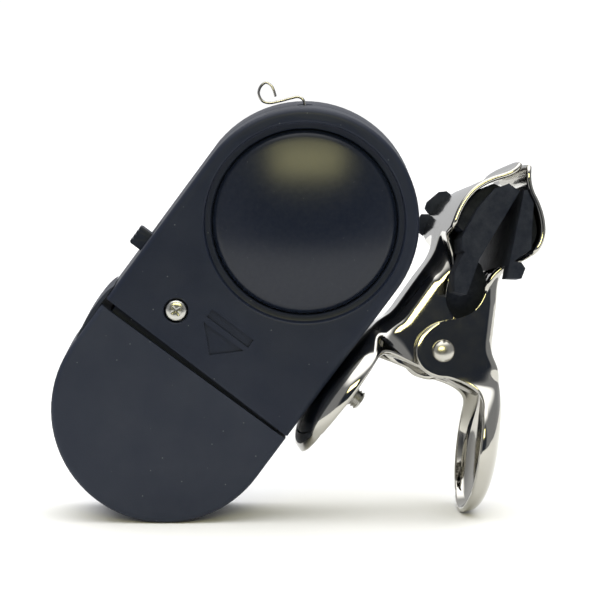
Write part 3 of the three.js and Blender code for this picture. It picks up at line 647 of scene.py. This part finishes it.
def switch_knob():
    """The slide switch's knob, with grip ribs across its top."""
    half = KNOB_LENGTH / 2
    low = HALF_WIDTH - WALL - 0.35
    high = HALF_WIDTH + KNOB_PROUD
    ribs = 4
    pitch = KNOB_LENGTH / ribs
    outline = [(SWITCH_X - half, low), (SWITCH_X + half, low)]
    for i in range(ribs):
        right = SWITCH_X + half - i * pitch
        outline += [(right, high - 0.25), (right - 0.15, high)]
        outline += [(right - pitch + 0.2, high), (right - pitch + 0.05, high - 0.25)]
    outline[-1] = (SWITCH_X - half, high - 0.25)
    knob = across_y("switch_knob_detail", outline, SWITCH_Y - 1.2, SWITCH_Y + 1.2)
    put(rounded(knob, 0.08, 2), HOUSING, "switch_knob", HOUSING_PLASTIC, ["switch_knob"])


def beside_exit(right, up, back=0.0):
    """A point near the wire's exit, by its distances right, up and back as the object stands."""
    x, y, z = on_wire(HALF_WIDTH)
    c, s = cos(AXIS_TILT), sin(AXIS_TILT)
    return (x + right * c + up * s, y + back, z - right * s + up * c)


def trigger_wire():
    """Spring wire: an eye round its post, a straight stem, and an open loop outside for the fishing line."""
    eye_radius = 1.15
    x, y, z = on_wire(POST_REACH)
    angles = [WIRE_ANGLE + pi * (0.3 + 1.5 * i / 10) for i in range(11)]
    eye = [(x + eye_radius * cos(a), y, z + eye_radius * sin(a)) for a in angles]
    stem = [on_wire(reach) for reach in (POST_REACH + 3, 11.9, 13.9, 15.2, HALF_WIDTH)]
    loop = [
        beside_exit(-0.35, 0.85), beside_exit(-1, 1.15, 0.1), beside_exit(-2.1, 0.95, 0.1),
        beside_exit(-3.6, 0.55, 0.1), beside_exit(-5.4, 0.25), beside_exit(-6.4, 0.6),
        beside_exit(-6.9, 1.6), beside_exit(-6.6, 2.7), beside_exit(-5.8, 3.3),
        beside_exit(-5, 2.8, -0.1), beside_exit(-4.6, 2, -0.2), beside_exit(-4.4, 1.3, -0.2),
    ]
    piece = wire("trigger_wire_detail", smooth_line([*eye, *stem, *loop], 6), WIRE_RADIUS)
    put(piece, HOUSING, "trigger_wire", SPRING_STEEL, ["trigger_wire"])


def cells():
    """Button cells: a steel can with a crimped shoulder and a raised face."""
    for i in range(CELL_COUNT):
        z = CELL_Z + i * CELL_HEIGHT
        top = z + CELL_HEIGHT - 0.1
        r = CELL_RADIUS
        profile = [(0, z), (4.5, z), (4.7, z + 0.12), (4.8, z + 0.35)]
        profile += [(5.2, z + 0.4), (5.5, z + 0.45), (r, z + 0.8)]
        profile += [(r, top - 0.4), (r - 0.12, top - 0.12), (r - 0.4, top), (0, top)]
        cell = turned_z(f"button_cell_{i + 1}", profile, CELL_X, CELL_Y, 64)
        put(cell, HOUSING, "housing", STEEL, [f"battery_cell_{i + 1}"])


def cell_spring():
    """A conical spring between the tray's end wall and the first cell."""
    turns, per_turn, thickness = 2.5, 24, 0.25
    low = TRAY_END_LOW + thickness + 0.15
    high = CELL_Z - thickness - 0.15
    route = []
    for i in range(int(turns * per_turn) + 1):
        done = i / (turns * per_turn)
        a = 2 * pi * i / per_turn
        r = 3.8 - 1.5 * done
        route.append((CELL_X + r * cos(a), CELL_Y + r * sin(a), low + (high - low) * done))
    spring = wire("cell_spring", route, thickness, 10)
    put(spring, HOUSING, "housing", SPRING_STEEL, ["battery_spring"])


# ---- mounting screw, washers and nut ----
STACK = -HALF_WIDTH - SHEET  # the clamp sheet's outside face, where the washers start


def mount_screw():
    """The M3 screw: a pan head inside the housing, and a threaded end with a rounded tip outside."""
    seat = WALL - HALF_WIDTH + 0.15
    end = STACK - 5.8
    pitch = 0.5
    thread = [(0, end), (1.1, end), (1.35, end + 0.15)]
    h = end + 0.15
    while h < STACK - 0.3:
        thread += [(1.5, h + 0.18), (1.5, h + 0.24), (1.28, h + 0.42), (1.28, h + pitch)]
        h += pitch
    head = [(1.5, seat), (2.75, seat), (2.75, seat + 0.9), (2.2, seat + 1.6), (0, seat + 1.9)]
    screw = turned_z("mount_screw_detail", [*thread, *head], MOUNT_X, MOUNT_Y, 48)
    put(screw, HOUSING, "housing", STEEL, ["mount_screw"])


def flat_washer():
    near, far = STACK - 0.15, STACK - 0.65
    profile = [(M3_CLEARANCE, near), (3.4, near), (3.5, near - 0.1)]
    profile += [(3.5, far + 0.1), (3.4, far), (M3_CLEARANCE, far)]
    washer = turned_z("flat_washer_detail", profile, MOUNT_X, MOUNT_Y)
    put(washer, HOUSING, "housing", STEEL, ["flat_washer"])


def spring_washer():
    """A split spring washer: one turn of square wire whose ends stand apart."""
    steps = 60
    inner, outer, thick, lift = M3_CLEARANCE, 2.85, 0.5, 0.35
    loops = []
    for i in range(steps + 1):
        a = radians(10 + 340 * i / steps)
        z = STACK - 0.8 - lift * i / steps
        section = [(inner, z), (outer, z), (outer, z - thick), (inner, z - thick)]
        loops.append([(MOUNT_X + r * cos(a), MOUNT_Y + r * sin(a), h) for r, h in section])
    washer = rounded(loft("spring_washer_detail", loops), 0.05, 2, 50)
    put(washer, HOUSING, "housing", STEEL, ["spring_washer"])


def mount_nut():
    """A hexagon nut whose corners are turned down."""
    near, far = STACK - 1.75, STACK - 4.15
    across_flats = 5.5
    corner = across_flats / sqrt(3)
    angles = [pi / 3 * i for i in range(6)]
    hexagon = [(MOUNT_X + corner * cos(a), MOUNT_Y + corner * sin(a)) for a in angles]
    nut = extruded("mount_nut_detail", hexagon, lambda a, b, h: (a, b, h), far, near)
    cone = [(0, far), (2.75, far), (3.3, far + 0.35), (3.3, near - 0.35), (2.75, near), (0, near)]
    combined(nut, turned_z("cone", cone, MOUNT_X, MOUNT_Y, 72), "INTERSECT")
    hole = [(0, far - 1), (1.75, far - 1), (1.75, far), (1.6, far + 0.2)]
    hole += [(1.6, near - 0.2), (1.75, near), (1.75, near + 1), (0, near + 1)]
    cut(nut, turned_z("thread_cut", hole, MOUNT_X, MOUNT_Y, 48))
    put(rounded(nut, 0.06, 2, 35), HOUSING, "housing", STEEL, ["mount_nut"], sharp=25)


# ---- clamp halves: one pressed sheet each, a grid of rows from the dish's far rim to the jaw's tip ----
# Each half is drawn in its own frame: x from the pivot towards the jaws, z outwards, y along the pivot.
HEEL = [(-14, 1.0), (-7.2, 0.9), (-5.1, 0.81), (-2.6, 0.6), (-0.9, 0.32), (0.5, 0.08), (1.9, 0), (3, 0)]
ROOF, BEND_END = 0.34, 0.56  # shares of a row, middle to edge: flat roof, rounded bend, cheek
COLUMNS = 36
DISH_ROWS, CHANNEL_ROWS, JAW_ROWS = 44, 56, 52
ROOF_START, BEND_START = -2.1, -4.4  # where the channel starts, on its middle line and on its bend
JAW_START = 10.4


def eased(t):
    """0 to 1 with a soft start and end."""
    t = min(max(t, 0.0), 1.0)
    return t * t * (3 - 2 * t)


def along(points, count):
    """Points at even distances along a line."""
    p = np.array(points, float)
    reach = np.concatenate([[0], np.cumsum(np.linalg.norm(np.diff(p, axis=0), axis=1))])
    steps = np.linspace(0, reach[-1], count)
    return np.stack([np.interp(steps, reach, p[:, k]) for k in range(p.shape[1])], axis=1)


def height_line(points):
    """A function that gives z for x on a smooth line through (x, z) points."""
    line = np.array(smooth_line(points, 12))
    order = np.argsort(line[:, 0])
    return lambda x: float(np.interp(x, line[order, 0], line[order, 1]))


def cheek_edge():
    """The cheek's free edge from the dish's rim, round the pivot's lobe, to the jaw."""
    points = [(-5.2, 7.9), *bezier([(-5.2, 7.9), (-4.5, 6.4), (-4.1, 3.8)], 10), (-3.8, 0.9)]
    points += arc(0, 0, LOBE_RADIUS, 166.68, 306, 30)
    points += bezier([points[-1], (3.9, -1.9), (4.4, -0.9), (4.9, 0.9)], 10)
    points += bezier([points[-1], (5.5, 3.2), (6.8, 5.3), (JAW_START, 5.75)], 16)
    return points


def jaw_edge(cheek_y, wide, tip):
    """The jaw's outline in plan (x, y), from the channel to its rounded corner."""
    corner = 1.6
    points = [(JAW_START, cheek_y), (wide - 2.4, cheek_y + 0.9)]
    points += bezier([points[-1], (wide - 0.6, cheek_y + 2.2), (wide, JAW_HALF_WIDTH - 0.6)], 14)
    points += [(wide + 0.8, JAW_HALF_WIDTH), (tip - corner, JAW_HALF_WIDTH)]
    return points + arc(tip - corner, JAW_HALF_WIDTH - corner, corner, 90, 45, 6)


def clamp_grid(cheek_y, back_z, bend, dish_z, dish_radius, wide, tip, jaw_line):
    """Rows of points on the outside face, from the middle (y = 0) to the edge."""
    heel = height_line(HEEL)
    jaw_z = height_line([(9.6, back_z), *jaw_line])
    share = [j / COLUMNS for j in range(COLUMNS + 1)]

    def roof(x):
        return back_z + heel(x) * (dish_z - back_z)

    def dish_point(u, v):
        w = np.interp(v, [0, ROOF, BEND_END, 1], [0, 0.62, 0.82, 1])
        x = dish_radius * u * sqrt(1 - w * w / 2)
        y = dish_radius * w * sqrt(1 - u * u / 2)
        r = min(hypot(x, y) / dish_radius, 1)
        round_z = dish_z - DISH_DEPTH * (1 - (1 - r**3) ** 0.45)
        along_z = roof(x - PIVOT_AHEAD)
        along_z -= (along_z - dish_z + DISH_DEPTH) * w**7
        k = eased((u + 0.1) / 1.1)
        return np.array((x - PIVOT_AHEAD, y, round_z + (along_z - round_z) * k))

    edge = along(cheek_edge(), CHANNEL_ROWS + 1)

    def channel_point(i, v):
        t = i / CHANNEL_ROWS
        middle_x = ROOF_START + (JAW_START - ROOF_START) * t
        bend_x = BEND_START + (JAW_START - BEND_START) * t
        if v <= ROOF:
            a = v / ROOF
            x = middle_x + (bend_x - middle_x) * a * a
            return np.array((x, a * (cheek_y - bend), roof(x)))
        if v <= BEND_END:
            a = (v - ROOF) / (BEND_END - ROOF) * pi / 2
            y, z = cheek_y - bend + bend * sin(a), roof(bend_x) - bend * (1 - cos(a))
            return np.array((bend_x, y, z))
        a = (v - BEND_END) / (1 - BEND_END)
        top = np.array((bend_x, cheek_y, roof(bend_x) - bend))
        low = np.array((edge[i][0], cheek_y, edge[i][1]))
        return top + (low - top) * a

    outline = along(jaw_edge(cheek_y, wide, tip), JAW_ROWS + 1)

    def jaw_point(i, v):
        t = i / JAW_ROWS
        middle_x = JAW_START + (tip - JAW_START) * t
        square = v ** (1 + 4 * t)
        x = middle_x + (outline[i][0] - middle_x) * square
        flat = np.array((x, outline[i][1] * v, jaw_z(x)))
        folded = channel_point(CHANNEL_ROWS, v)
        folded = folded + np.array((middle_x - JAW_START, 0, jaw_z(middle_x) - jaw_z(JAW_START)))
        return folded + (flat - folded) * eased(t / 0.25)

    rows = [[dish_point(-1 + 2 * i / DISH_ROWS, v) for v in share] for i in range(DISH_ROWS + 1)]
    last = np.array(rows[-1])
    meeting = 0.22 * CHANNEL_ROWS
    for i in range(1, CHANNEL_ROWS + 1):
        row = np.array([channel_point(i, v) for v in share])
        k = eased(i / meeting)
        rows.append(last + (row - last) * k if k < 1 else row)
    rows += [[jaw_point(i, v) for v in share] for i in range(1, JAW_ROWS + 1)]
    return np.array(rows, float)


def relaxed(grid, centre, reach, rounds):
    """Evens out the rows round one row, so that two stretches of the sheet meet smoothly."""
    rows = len(grid)
    weight = np.array([eased(1 - abs(i - centre) / reach) for i in range(rows)])
    weight[0] = weight[-1] = 0
    for _ in range(rounds):
        target = grid.copy()
        neighbours = grid[:-2, 1:-1] + grid[2:, 1:-1] + grid[1:-1, :-2] + grid[1:-1, 2:]
        target[1:-1, 1:-1] = neighbours / 4
        target[1:-1, -1] = (grid[:-2, -1] + grid[2:, -1]) / 2
        mirrored = grid[1:-1, 1] * np.array((1, -1, 1))
        target[1:-1, 0] = (grid[:-2, 0] + grid[2:, 0] + grid[1:-1, 1] + mirrored) / 4
        grid = grid + (target - grid) * weight[:, None, None]
    return grid


def unit(vectors):
    return vectors / np.maximum(np.linalg.norm(vectors, axis=-1, keepdims=True), 1e-9)


def sheet_mesh(name, grid):
    """A pressed sheet whose outside face is the grid, with a rounded edge all round."""
    rows, columns = grid.shape[:2]
    across = np.cross(grid[1:, 1:] - grid[:-1, :-1], grid[1:, :-1] - grid[:-1, 1:])
    normals = np.zeros_like(grid)
    for i in (0, 1):
        for j in (0, 1):
            normals[i:rows - 1 + i, j:columns - 1 + j] += across
    normals = unit(normals)
    if normals[rows // 2, columns // 2][2] < 0:
        normals = -normals
    rim = [(0, j) for j in range(columns)] + [(i, columns - 1) for i in range(1, rows)]
    rim += [(rows - 1, j) for j in range(columns - 2, -1, -1)] + [(i, 0) for i in range(rows - 2, 0, -1)]
    outwards = np.zeros((len(rim), 3))
    for k, (i, j) in enumerate(rim):
        if i in (0, rows - 1):
            outwards[k] += unit(grid[i, j] - grid[1 if i == 0 else rows - 2, j])
        if j in (0, columns - 1):
            outwards[k] += unit(grid[i, j] - grid[i, 1 if j == 0 else columns - 2])
    edge = np.array([grid[i, j] for i, j in rim])
    edge_normals = np.array([normals[i, j] for i, j in rim])
    outwards = unit(outwards - edge_normals * np.sum(outwards * edge_normals, axis=1)[:, None])
    for _ in range(3):
        outwards = unit(outwards + np.roll(outwards, 1, axis=0) + np.roll(outwards, -1, axis=0))
    inner = grid - normals * SHEET
    vertices = [*grid.reshape(-1, 3), *inner.reshape(-1, 3)]
    half = rows * columns
    rings = [[i * columns + j for i, j in rim]]
    for step in range(1, RIM_STEPS):
        a = pi * step / RIM_STEPS
        ring = edge - edge_normals * (SHEET / 2 * (1 - cos(a))) + outwards * (RIM_BULGE * sin(a))
        rings.append(list(range(len(vertices), len(vertices) + len(rim))))
        vertices += list(ring)
    rings.append([half + i * columns + j for i, j in rim])
    faces = []
    for i in range(rows - 1):
        for j in range(columns - 1):
            a = i * columns + j
            faces.append((a, a + columns, a + columns + 1, a + 1))
            faces.append((half + a, half + a + 1, half + a + columns + 1, half + a + columns))
    for low, high in zip(rings, rings[1:]):
        for k in range(len(rim)):
            m = (k + 1) % len(rim)
            faces.append((low[k], low[m], high[m], high[k]))
    return tidy_normals(mesh_object(name, vertices, faces))


def clamp_half(name, sizes, jaw_line, matrix, body, node):
    """One pressing, drawn from the middle to one edge and mirrored, with the hole in its dish."""
    grid = clamp_grid(*sizes, jaw_line)
    grid = relaxed(grid, DISH_ROWS, 12, 30)
    grid = relaxed(grid, DISH_ROWS + CHANNEL_ROWS, 10, 12)
    full = np.concatenate([grid[:, :0:-1] * np.array((1, -1, 1)), grid], axis=1)
    half = sheet_mesh(name, full)
    hole = [(0, 4), (M3_CLEARANCE, 4), (M3_CLEARANCE, 14), (0, 14)]
    cut(half, turned_z("dish_hole", hole, -PIVOT_AHEAD, 0, 40))
    put(half, matrix, body, NICKEL, [node], sharp=50)


# cheek_y, back_z, bend, dish_z, dish_radius, where the jaw is wide, and its tip, as clamp_grid takes them
BASE_SIZES = (BASE_CHEEK_Y, BASE_BACK_Z, BASE_BEND, BASE_DISH_Z, BASE_DISH_RADIUS, 15, 29.1)
LEVER_SIZES = (LEVER_CHEEK_Y, LEVER_BACK_Z, LEVER_BEND, LEVER_DISH_Z, LEVER_DISH_RADIUS, 15.6, 29)
# each jaw's (x, z) line, from the channel to the tip
BASE_JAW = [
    (10.6, 9.25), (11.8, 9.35), (13, 9.75), (14.4, 10.35), (16.2, 11), (18.2, 11.45), (19.9, 11.55),
    (21.8, 11.3), (23.4, 10.7), (24.8, 9.9), (26, 9), (27.1, 8.3), (28.2, 7.95), (29.3, 8.05),
]
LEVER_JAW = [
    (10.6, 7.4), (11.8, 7.5), (13, 8.2), (14.2, 9.4), (15.6, 11), (17, 11.9), (18.5, 12.25), (20, 12.15),
    (21.9, 11.6), (23.7, 10.7), (25, 9.85), (26.2, 9.35), (27.6, 9.1), (29.2, 9.15),
]


def pivot_pin():
    """A rivet through both halves, with a domed head on each end."""
    face = LEVER_CHEEK_Y + 0.05
    head, height = 1.68, 0.82
    angles = [pi / 2 * i / 10 for i in range(11)]
    dome = [(head * cos(a), face + 0.1 + height * sin(a)) for a in angles]
    dome[-1] = (0, dome[-1][1])
    half = [(PIN_RADIUS, 0), (PIN_RADIUS, face), (head, face), *dome]
    profile = [(r, -h) for r, h in reversed(half)] + half[1:]
    put(turned_y("pivot_rivet", profile, 0, 0, 48), BASE, "clamp_base", STEEL, ["pivot_pin"])


def torsion_spring():
    """Coils round the pin, which bend between the halves, and a leg under each half's heel."""
    coil, turns, per_turn, thickness = 2.6, 5, 28, 0.5
    reach = BASE_CHEEK_Y - SHEET - thickness - 0.3
    route = [(-5.4, -reach, 8.1), (-5.1, -reach, 7.2), (-4.3, -reach, 4.6), (-3.3, -reach, 2.0)]
    for i in range(int(turns * per_turn) + 1):
        a = pi - 2 * pi * i / per_turn
        route.append((coil * cos(a), reach * (2 * i / (turns * per_turn) - 1), coil * sin(a)))
    flip = Matrix.Rotation(pi, 4, "X").inverted() @ Matrix.Rotation(LEVER_ANGLE, 4, "Y")
    for x, z in ((-3.1, 2.0), (-4.1, 4.4), (-4.9, 6.6), (-5.3, 7.9)):
        route.append(tuple(flip @ Vector((x, -reach, z))))
    spring = wire("torsion_spring_detail", route, thickness, 12)
    item = put(spring, BASE, None, SPRING_STEEL, ["torsion_spring"])
    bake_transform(item)


# ---- rubber pads ----
PAD_HALF_WIDTH = 14.0
CORE_HALF_WIDTH = 11.6
TONGUE_HALF_WIDTH = 5.0


def under_line(line, distance):
    """Points at a distance below a smooth line of (x, z) points."""
    points = np.array(smooth_line(line, 6))
    slopes = np.gradient(points, axis=0)
    slopes /= np.linalg.norm(slopes, axis=1)[:, None]
    return [(x + dz * distance, z - dx * distance) for (x, z), (dx, dz) in zip(points, slopes)]


def jaw_pad(name, jaw_line, slab, core, ears, ear_inside, extras=()):
    """A rubber block cut to the space under its jaw, with an ear at each side behind it.

    Extras are (outline, y0, y1) blocks that are joined on.
    """
    clear = under_line(jaw_line, SHEET + 0.25)
    space = [*clear, (clear[-1][0], -2), (clear[0][0], -2)]
    pad = across_y(name, core, -CORE_HALF_WIDTH, CORE_HALF_WIDTH)
    fused(pad, across_y("slab", slab, -PAD_HALF_WIDTH, PAD_HALF_WIDTH))
    combined(pad, across_y("space", space, -20, 20), "INTERSECT")
    for y0, y1 in ((ear_inside, PAD_HALF_WIDTH), (-PAD_HALF_WIDTH, -ear_inside)):
        fused(pad, across_y("ear", ears, y0, y1))
    for outline, y0, y1 in extras:
        fused(pad, across_y("extra", outline, y0, y1))
    return rounded(pad, 0.25, 3, 30)


# (x, z) outlines of the pads' blocks
BASE_SLAB = [(13, 4.4), (25.2, 5.4), (25.2, 7.4), (23.4, 8.6), (19.6, 9), (14.5, 8.4), (13, 7.2)]
BASE_CORE = [(15.4, 5), (25, 5.6), (24, 10), (20, 11.5), (16, 11)]
BASE_EARS = [(8, 2.9), (9.2, 3.2), (13.5, 4.45), (13.5, 6.75), (12.6, 6.8), (9.6, 6.2), (7.4, 4.6)]
BASE_TONGUE = [
    (4.3, 0.2), (5.2, -1.2), (7, -1.9), (8.6, -1.9), (10.6, -1), (12.6, 0.4), (14.2, 2.6), (14.6, 5.4),
    (13.5, 6.2), (8, 6.2), (6, 4.9), (4.6, 2.6),
]
# lugs that stand up past the far edge of the base jaw, drawn only here
FAR_LUG_Y = (13.6, 14.5)
FAR_LUGS = [
    [(15.4, 8.2), (18.3, 8.4), (18.5, 11.9), (17.9, 12.7), (16.4, 12.5), (15.3, 11.2)],
    [(18, 8.4), (23, 8.6), (23.2, 11.6), (22.4, 12.5), (20, 13.1), (19, 12.8), (18.7, 12)],
]
LEVER_SLAB = [(13.6, 7.2), (25, 8.2), (25, 9), (23.4, 9.8), (19, 10), (14.6, 10.4), (13.6, 10)]
LEVER_CORE = [(15.4, 8), (25, 8.4), (24, 12), (18, 14), (17.4, 12.6), (16, 10)]
LEVER_EARS = [(11.6, 7.1), (14.2, 7.3), (14.2, 9), (13.4, 9.7), (11.8, 9.3)]


def base_pad():
    lugs = [(outline, *FAR_LUG_Y) for outline in FAR_LUGS]
    extras = [(BASE_TONGUE, -TONGUE_HALF_WIDTH, TONGUE_HALF_WIDTH), *lugs]
    pad = jaw_pad("base_pad_rubber", BASE_JAW, BASE_SLAB, BASE_CORE, BASE_EARS, 8.4, extras)
    put(pad, BASE, "clamp_base", RUBBER, ["jaw_pad_base"], sharp=40)


def lever_pad():
    pad = jaw_pad("lever_pad_rubber", LEVER_JAW, LEVER_SLAB, LEVER_CORE, LEVER_EARS, 9.8)
    put(pad, LEVER, "clamp_lever", RUBBER, ["jaw_pad_lever"], sharp=40)


# ---- inner pieces whose CAD shape is kept ----
def inner_pieces():
    kept = {
        "sounder": RESIN, "circuit_board": BOARD_GREEN, "sound_chip": RESIN, "switch_body": STEEL,
        "trigger_post": BRASS, "contact_ring": BRASS, "battery_contact": BRASS,
    }
    for name, material in kept.items():
        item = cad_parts[name]
        item.data.materials.clear()
        item.data.materials.append(material)


# ---- stage, lights and camera ----
def floor():
    """The pale sheet that the object stands on."""
    left, right, near, far = -0.6, 0.6, -0.14, 0.7
    corners = [(left, near, 0), (right, near, 0), (right, far, 0), (left, far, 0)]
    item = mesh_object("floor", corners, [(0, 1, 2, 3)])
    n = Nodes("pale_floor")
    paper = n.ramp(n.noise(3, 2), [(0.3, (0.93, 0.93, 0.93)), (0.7, (0.95, 0.95, 0.95))])
    n.join(paper, n.shader.inputs["Base Color"])
    n.set(Roughness=0.9, Specular_IOR_Level=0.1)
    item.data.materials.append(n.material)


def area_light(name, place_at, look_at, size, power, colour):
    light = bpy.data.lights.new(name, "AREA")
    light.shape = "RECTANGLE"
    light.size, light.size_y = size
    light.energy = power
    light.color = colour
    item = bpy.data.objects.new(name, light)
    item.location = place_at
    item.rotation_euler = (Vector(look_at) - Vector(place_at)).to_track_quat("-Z", "Y").to_euler()
    bpy.context.scene.collection.objects.link(item)


WALL_LIGHT, BACK_LIGHT, ROOF_LIGHT, HAZE_LIGHT, BACKDROP = 0.34, 0.6, 2.3, 0.055, 1.05
GAP_DIRECTION = (0.05, -0.985, 0.165)


def studio():
    """A light tent: bright walls and a brighter roof, and a dark gap in front of the object."""
    world = bpy.data.worlds.new("studio")
    bpy.context.scene.world = world
    world.use_nodes = True
    tree = world.node_tree
    tree.nodes.clear()

    def add(kind, **settings):
        node = tree.nodes.new(kind)
        for key, value in settings.items():
            setattr(node, key, value)
        return node

    def graded(source, start, end, low, high):
        node = add("ShaderNodeMapRange", interpolation_type="SMOOTHSTEP")
        for key, value in (("From Min", start), ("From Max", end), ("To Min", low), ("To Max", high)):
            node.inputs[key].default_value = value
        tree.links.new(source, node.inputs["Value"])
        return node.outputs["Result"]

    direction = add("ShaderNodeTexCoord").outputs["Generated"]
    towards_gap = add("ShaderNodeVectorMath", operation="DOT_PRODUCT")
    towards_gap.inputs[1].default_value = GAP_DIRECTION
    tree.links.new(direction, towards_gap.inputs[0])
    apart = add("ShaderNodeSeparateXYZ")
    tree.links.new(direction, apart.inputs[0])
    away = graded(towards_gap.outputs["Value"], 0.78, 0.93, 1.0, 0.0)
    walls = graded(apart.outputs["Y"], 0.2, 0.8, WALL_LIGHT, BACK_LIGHT)
    roof = graded(apart.outputs["Z"], 0.6, 0.85, 0.0, ROOF_LIGHT)
    sides = add("ShaderNodeMath", operation="MULTIPLY")
    tree.links.new(away, sides.inputs[0])
    tree.links.new(walls, sides.inputs[1])
    total = add("ShaderNodeMath", operation="ADD")
    tree.links.new(sides.outputs[0], total.inputs[0])
    tree.links.new(roof, total.inputs[1])
    lit = add("ShaderNodeBackground")
    tree.links.new(total.outputs[0], lit.inputs["Strength"])
    seen = add("ShaderNodeBackground")
    seen.inputs["Strength"].default_value = BACKDROP
    for node in (lit, seen):
        node.inputs["Color"].default_value = (1, 1, 1, 1)
    ray = add("ShaderNodeLightPath")
    mix = add("ShaderNodeMixShader")
    out = add("ShaderNodeOutputWorld")
    haze = add("ShaderNodeBackground")
    haze.inputs["Color"].default_value = (0.55, 0.68, 1.0, 1)
    haze.inputs["Strength"].default_value = HAZE_LIGHT
    room = add("ShaderNodeAddShader")
    tree.links.new(lit.outputs[0], room.inputs[0])
    tree.links.new(haze.outputs[0], room.inputs[1])
    tree.links.new(ray.outputs["Is Camera Ray"], mix.inputs["Fac"])
    tree.links.new(room.outputs[0], mix.inputs[1])
    tree.links.new(seen.outputs[0], mix.inputs[2])
    tree.links.new(mix.outputs[0], out.inputs["Surface"])


def lights():
    """One soft, warm light in front, for the highlight on the dome."""
    place_at, centre = (0.02, -0.75, 0.355), (0, 0, 0.03)
    area_light("front_soft", place_at, centre, (0.44, 0.2), 2.1, (1.0, 0.93, 0.45))


def camera():
    """The view from the front, 7.5 degrees above level."""
    lens_distance = 0.45
    elevation = radians(7.5)
    centre = ORIGIN + Vector((0.02022, 0, 0.01683))
    data = bpy.data.cameras.new("camera")
    data.lens = 182
    data.sensor_width = 36
    data.clip_start = 0.01
    item = bpy.data.objects.new("camera", data)
    item.location = centre + Vector((0, -lens_distance * cos(elevation), lens_distance * sin(elevation)))
    item.rotation_euler = (centre - item.location).to_track_quat("-Z", "Y").to_euler()
    bpy.context.scene.collection.objects.link(item)
    bpy.context.scene.camera = item


camera()
studio()
lights()
floor()
bpy.context.scene.view_settings.view_transform = "Standard"

front_shell()
back_shell()
battery_door()
speaker_dome()
case_screw()
switch_knob()
trigger_wire()
cells()
cell_spring()
mount_screw()
flat_washer()
spring_washer()
mount_nut()
clamp_half("base_half_pressing", BASE_SIZES, BASE_JAW, BASE, "clamp_base", "clamp_base_half")
clamp_half("lever_half_pressing", LEVER_SIZES, LEVER_JAW, LEVER, "clamp_lever", "clamp_lever_half")
pivot_pin()
torsion_spring()
base_pad()
lever_pad()
inner_pieces()
